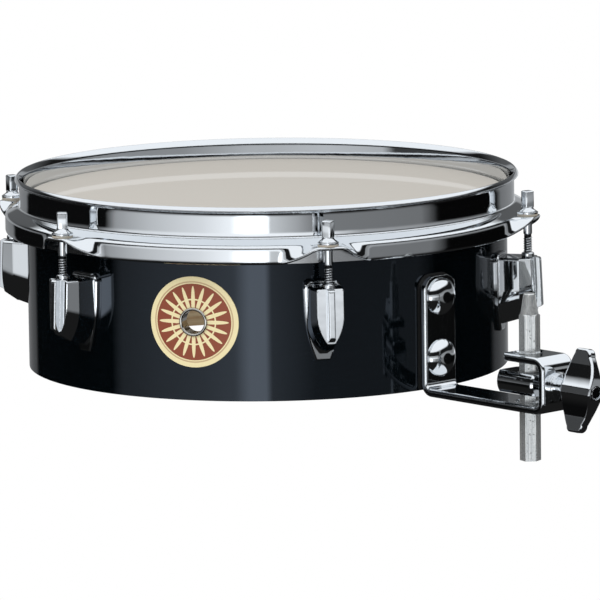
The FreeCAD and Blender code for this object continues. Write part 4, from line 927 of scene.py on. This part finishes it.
# ---- Studio ----------------------------------------------------------------------------------------
@dataclass
class StudioCamera:
    """Long lens, a little above the head and to the right of the badge."""

    azimuth: float = 47.5
    elevation: float = 8.846
    distance: float = 4.0483
    roll: float = -0.801
    lens_mm: float = 388.4
    target_height: float = 60.0 * MM
    aim_right: float = 20.26 * MM
    aim_down: float = 21.86 * MM

    def build(self) -> None:
        """Makes the camera and gives it to the scene."""
        back = towards(self.azimuth, self.elevation)
        target = Vector((AXIS.x, AXIS.y, BOTTOM_Z + self.target_height))
        position = target + self.distance * back
        level = (-back).to_track_quat("-Z", "Y") @ Matrix.Rotation(
            math.radians(self.roll), 3, "Z").to_quaternion()
        right, up = level @ Vector((1, 0, 0)), level @ Vector((0, 1, 0))
        aim = target + self.aim_right * right - self.aim_down * up
        look = (position - aim).normalized()
        across = up.cross(look).normalized()
        turn = Matrix((across, look.cross(across), look)).transposed().to_4x4()
        data = bpy.data.cameras.new("studio_camera")
        data.lens = self.lens_mm
        data.sensor_width = 36.0
        data.clip_end = 100.0
        camera = bpy.data.objects.new("studio_camera", data)
        camera.matrix_world = Matrix.Translation(position) @ turn
        bpy.context.scene.collection.objects.link(camera)
        bpy.context.scene.camera = camera


@dataclass
class StudioWorld:
    """White room: what shiny parts see is a ring of soft boxes and dark flats, fixed in space."""

    front: float = 47.5
    soft_light: float = 0.85
    # below these sines of the elevation the room fades into a dark floor
    dark_low: float = 0.36
    dark_high: float = 0.26
    dark: float = 0.012
    # brightness round the horizon, by degrees from the front
    flats: Sequence[Point] = (
        (-180, 0.3), (-150, 0.2), (-146, 0.004), (-80, 0.004), (-74, 0.36), (-55, 0.6),
        (-30, 0.84), (-16, 1.1), (-9, 2.6), (-1, 2.6), (1, 0.68), (14, 0.42), (22, 0.22), (76, 0.19),
        (86, 0.002), (134, 0.002), (140, 0.19), (158, 0.26), (180, 0.5))
    # each band: where it starts to show and where it is full, as sines of the elevation
    bands: Sequence[tuple[float, float, Sequence[Point]]] = (
        (-0.105, -0.07, ((-180, 0.5), (-112, 0.14), (-84, 0.14), (-66, 0.8), (-5, 1.15),
                         (26, 0.95), (44, 0.4), (100, 0.3), (130, 0.4), (142, 0.95),
                         (158, 0.9), (180, 0.5))),
        (-0.02, 0.0, ((-180, 0.4), (-130, 0.2), (-88, 0.05), (-64, 0.05), (-58, 0.5),
                      (-29, 0.58), (0, 0.5), (8, 0.5), (41, 0.3), (78, 0.3), (112, 0.2),
                      (180, 0.4))),
        (0.1, 0.14, ((-180, 0.12), (-150, 0.1), (-130, 0.01), (130, 0.01), (150, 0.1), (180, 0.12))),
        (0.42, 0.5, ((-180, 1.05), (180, 1.05))))

    def ring(self, tones: Sequence[Point]) -> list[tuple[float, Colour]]:
        """Brightness round the room at one height.

        Args:
            tones: Degrees from the front, from -180 to 180, with the brightness there.

        Returns:
            Ramp stops for a full turn.
        """
        return [((degrees + 180) / 360, (v * 0.97, v, v * 1.03, 1.0)) for degrees, v in tones]

    def build(self) -> None:
        """Makes the world."""
        world = bpy.data.worlds.new("studio")
        bpy.context.scene.world = world
        world.use_nodes = True
        tree = world.node_tree
        tree.nodes.clear()
        source = add_node(tree, "TexCoord").outputs["Generated"]
        turned = add_node(tree, "Mapping", {
            "Vector": source, "Rotation": (0.0, 0.0, -math.radians(self.front))},
            vector_type="POINT")
        split = add_node(tree, "SeparateXYZ", {"Vector": turned.outputs["Vector"]})
        x, y, z = (split.outputs[i] for i in range(3))
        angle = math_node(tree, "ARCTAN2", x, math_node(tree, "MULTIPLY", y, -1.0))
        share = math_node(tree, "MULTIPLY_ADD", angle, 1 / math.tau, 0.5)
        level = math_node(tree, "MULTIPLY_ADD", z, 0.5, 0.5)
        seen = ramp(tree, share, self.ring(self.flats))
        for low, high, tones in self.bands:
            part = ramp(tree, level, [(0.5 + low / 2, grey(0)), (0.5 + high / 2, grey(1))])
            tone = ramp(tree, share, self.ring(tones))
            seen = add_node(tree, "Mix", {0: part, 6: seen, 7: tone}, data_type="RGBA").outputs[2]
        below = ramp(tree, level, [(0.5 - self.dark_low / 2, grey(0)),
                                   (0.5 - self.dark_high / 2, grey(1))])
        seen = add_node(tree, "Mix", {0: below, 6: grey(self.dark), 7: seen},
                        data_type="RGBA").outputs[2]
        light_path = add_node(tree, "LightPath")
        mirror = add_node(tree, "Background", {"Color": seen})
        soft = add_node(tree, "Background", {
            "Color": srgb("#FFFFFF"), "Strength": self.soft_light})
        white = add_node(tree, "Background", {"Color": srgb("#FFFFFF"), "Strength": 1.0})
        lit = add_node(tree, "MixShader", {
            0: light_path.outputs["Is Glossy Ray"], 1: soft.outputs[0], 2: mirror.outputs[0]})
        final = add_node(tree, "MixShader", {
            0: light_path.outputs["Is Camera Ray"], 1: lit.outputs[0], 2: white.outputs[0]})
        add_node(tree, "OutputWorld", {"Surface": final.outputs[0]})


@dataclass
class Floor:
    """Plain white floor below the drum: white to the eye, and matt paper to the light."""

    drop: float = 0.45
    radius: float = 4.0

    def build(self) -> None:
        """Makes the floor disc."""
        mesh = bmesh.new()
        bmesh.ops.create_circle(mesh, cap_ends=True, segments=96, radius=self.radius)
        place(mesh, Matrix.Translation((AXIS.x, AXIS.y, -self.drop)))
        data = bpy.data.meshes.new("floor")
        mesh.to_mesh(data)
        mesh.free()
        material, tree, shader = new_material("white_paper")
        fill(tree, shader, {"Base Color": srgb("#F4F4F4"), "Roughness": 0.9})
        glow = add_node(tree, "Emission", {"Color": srgb("#FFFFFF"), "Strength": 1.0})
        light_path = add_node(tree, "LightPath")
        mix = add_node(tree, "MixShader", {
            0: light_path.outputs["Is Camera Ray"], 1: shader.outputs["BSDF"],
            2: glow.outputs["Emission"]})
        output = next(n for n in tree.nodes if n.type == "OUTPUT_MATERIAL")
        tree.links.new(mix.outputs["Shader"], output.inputs["Surface"])
        data.materials.append(material)
        floor = bpy.data.objects.new("floor", data)
        floor.visible_glossy = False
        bpy.context.scene.collection.objects.link(floor)


@dataclass
class KeyLight:
    """Large soft box that shades the matt parts; shiny parts see the room instead."""

    name: str = "key_light"
    azimuth: float = 20.0
    elevation: float = 50.0
    distance: float = 2.0
    size: float = 1.2
    watts: float = 18.0

    def build(self) -> None:
        """Makes the lamp, aimed at the drum."""
        away = towards(self.azimuth, self.elevation)
        data = bpy.data.lights.new(self.name, "AREA")
        data.shape = "DISK"
        data.size = self.size
        data.energy = self.watts
        lamp = bpy.data.objects.new(self.name, data)
        lamp.matrix_world = Matrix.Translation(AXIS + self.distance * away) @ \
            away.to_track_quat("Z", "Y").to_matrix().to_4x4()
        lamp.visible_glossy = False
        bpy.context.scene.collection.objects.link(lamp)


def main() -> None:
    """Builds everything in order."""
    logging.basicConfig(level=logging.INFO, format="%(message)s")
    bpy.context.scene.view_settings.view_transform = "Standard"
    StudioCamera().build()
    StudioWorld().build()
    Floor().build()
    KeyLight().build()
    CarriedNodes().dress()
    PressedHoop().build()
    TensionRods().build()
    SnareWires().build()


if __name__ == "__main__":
    main()
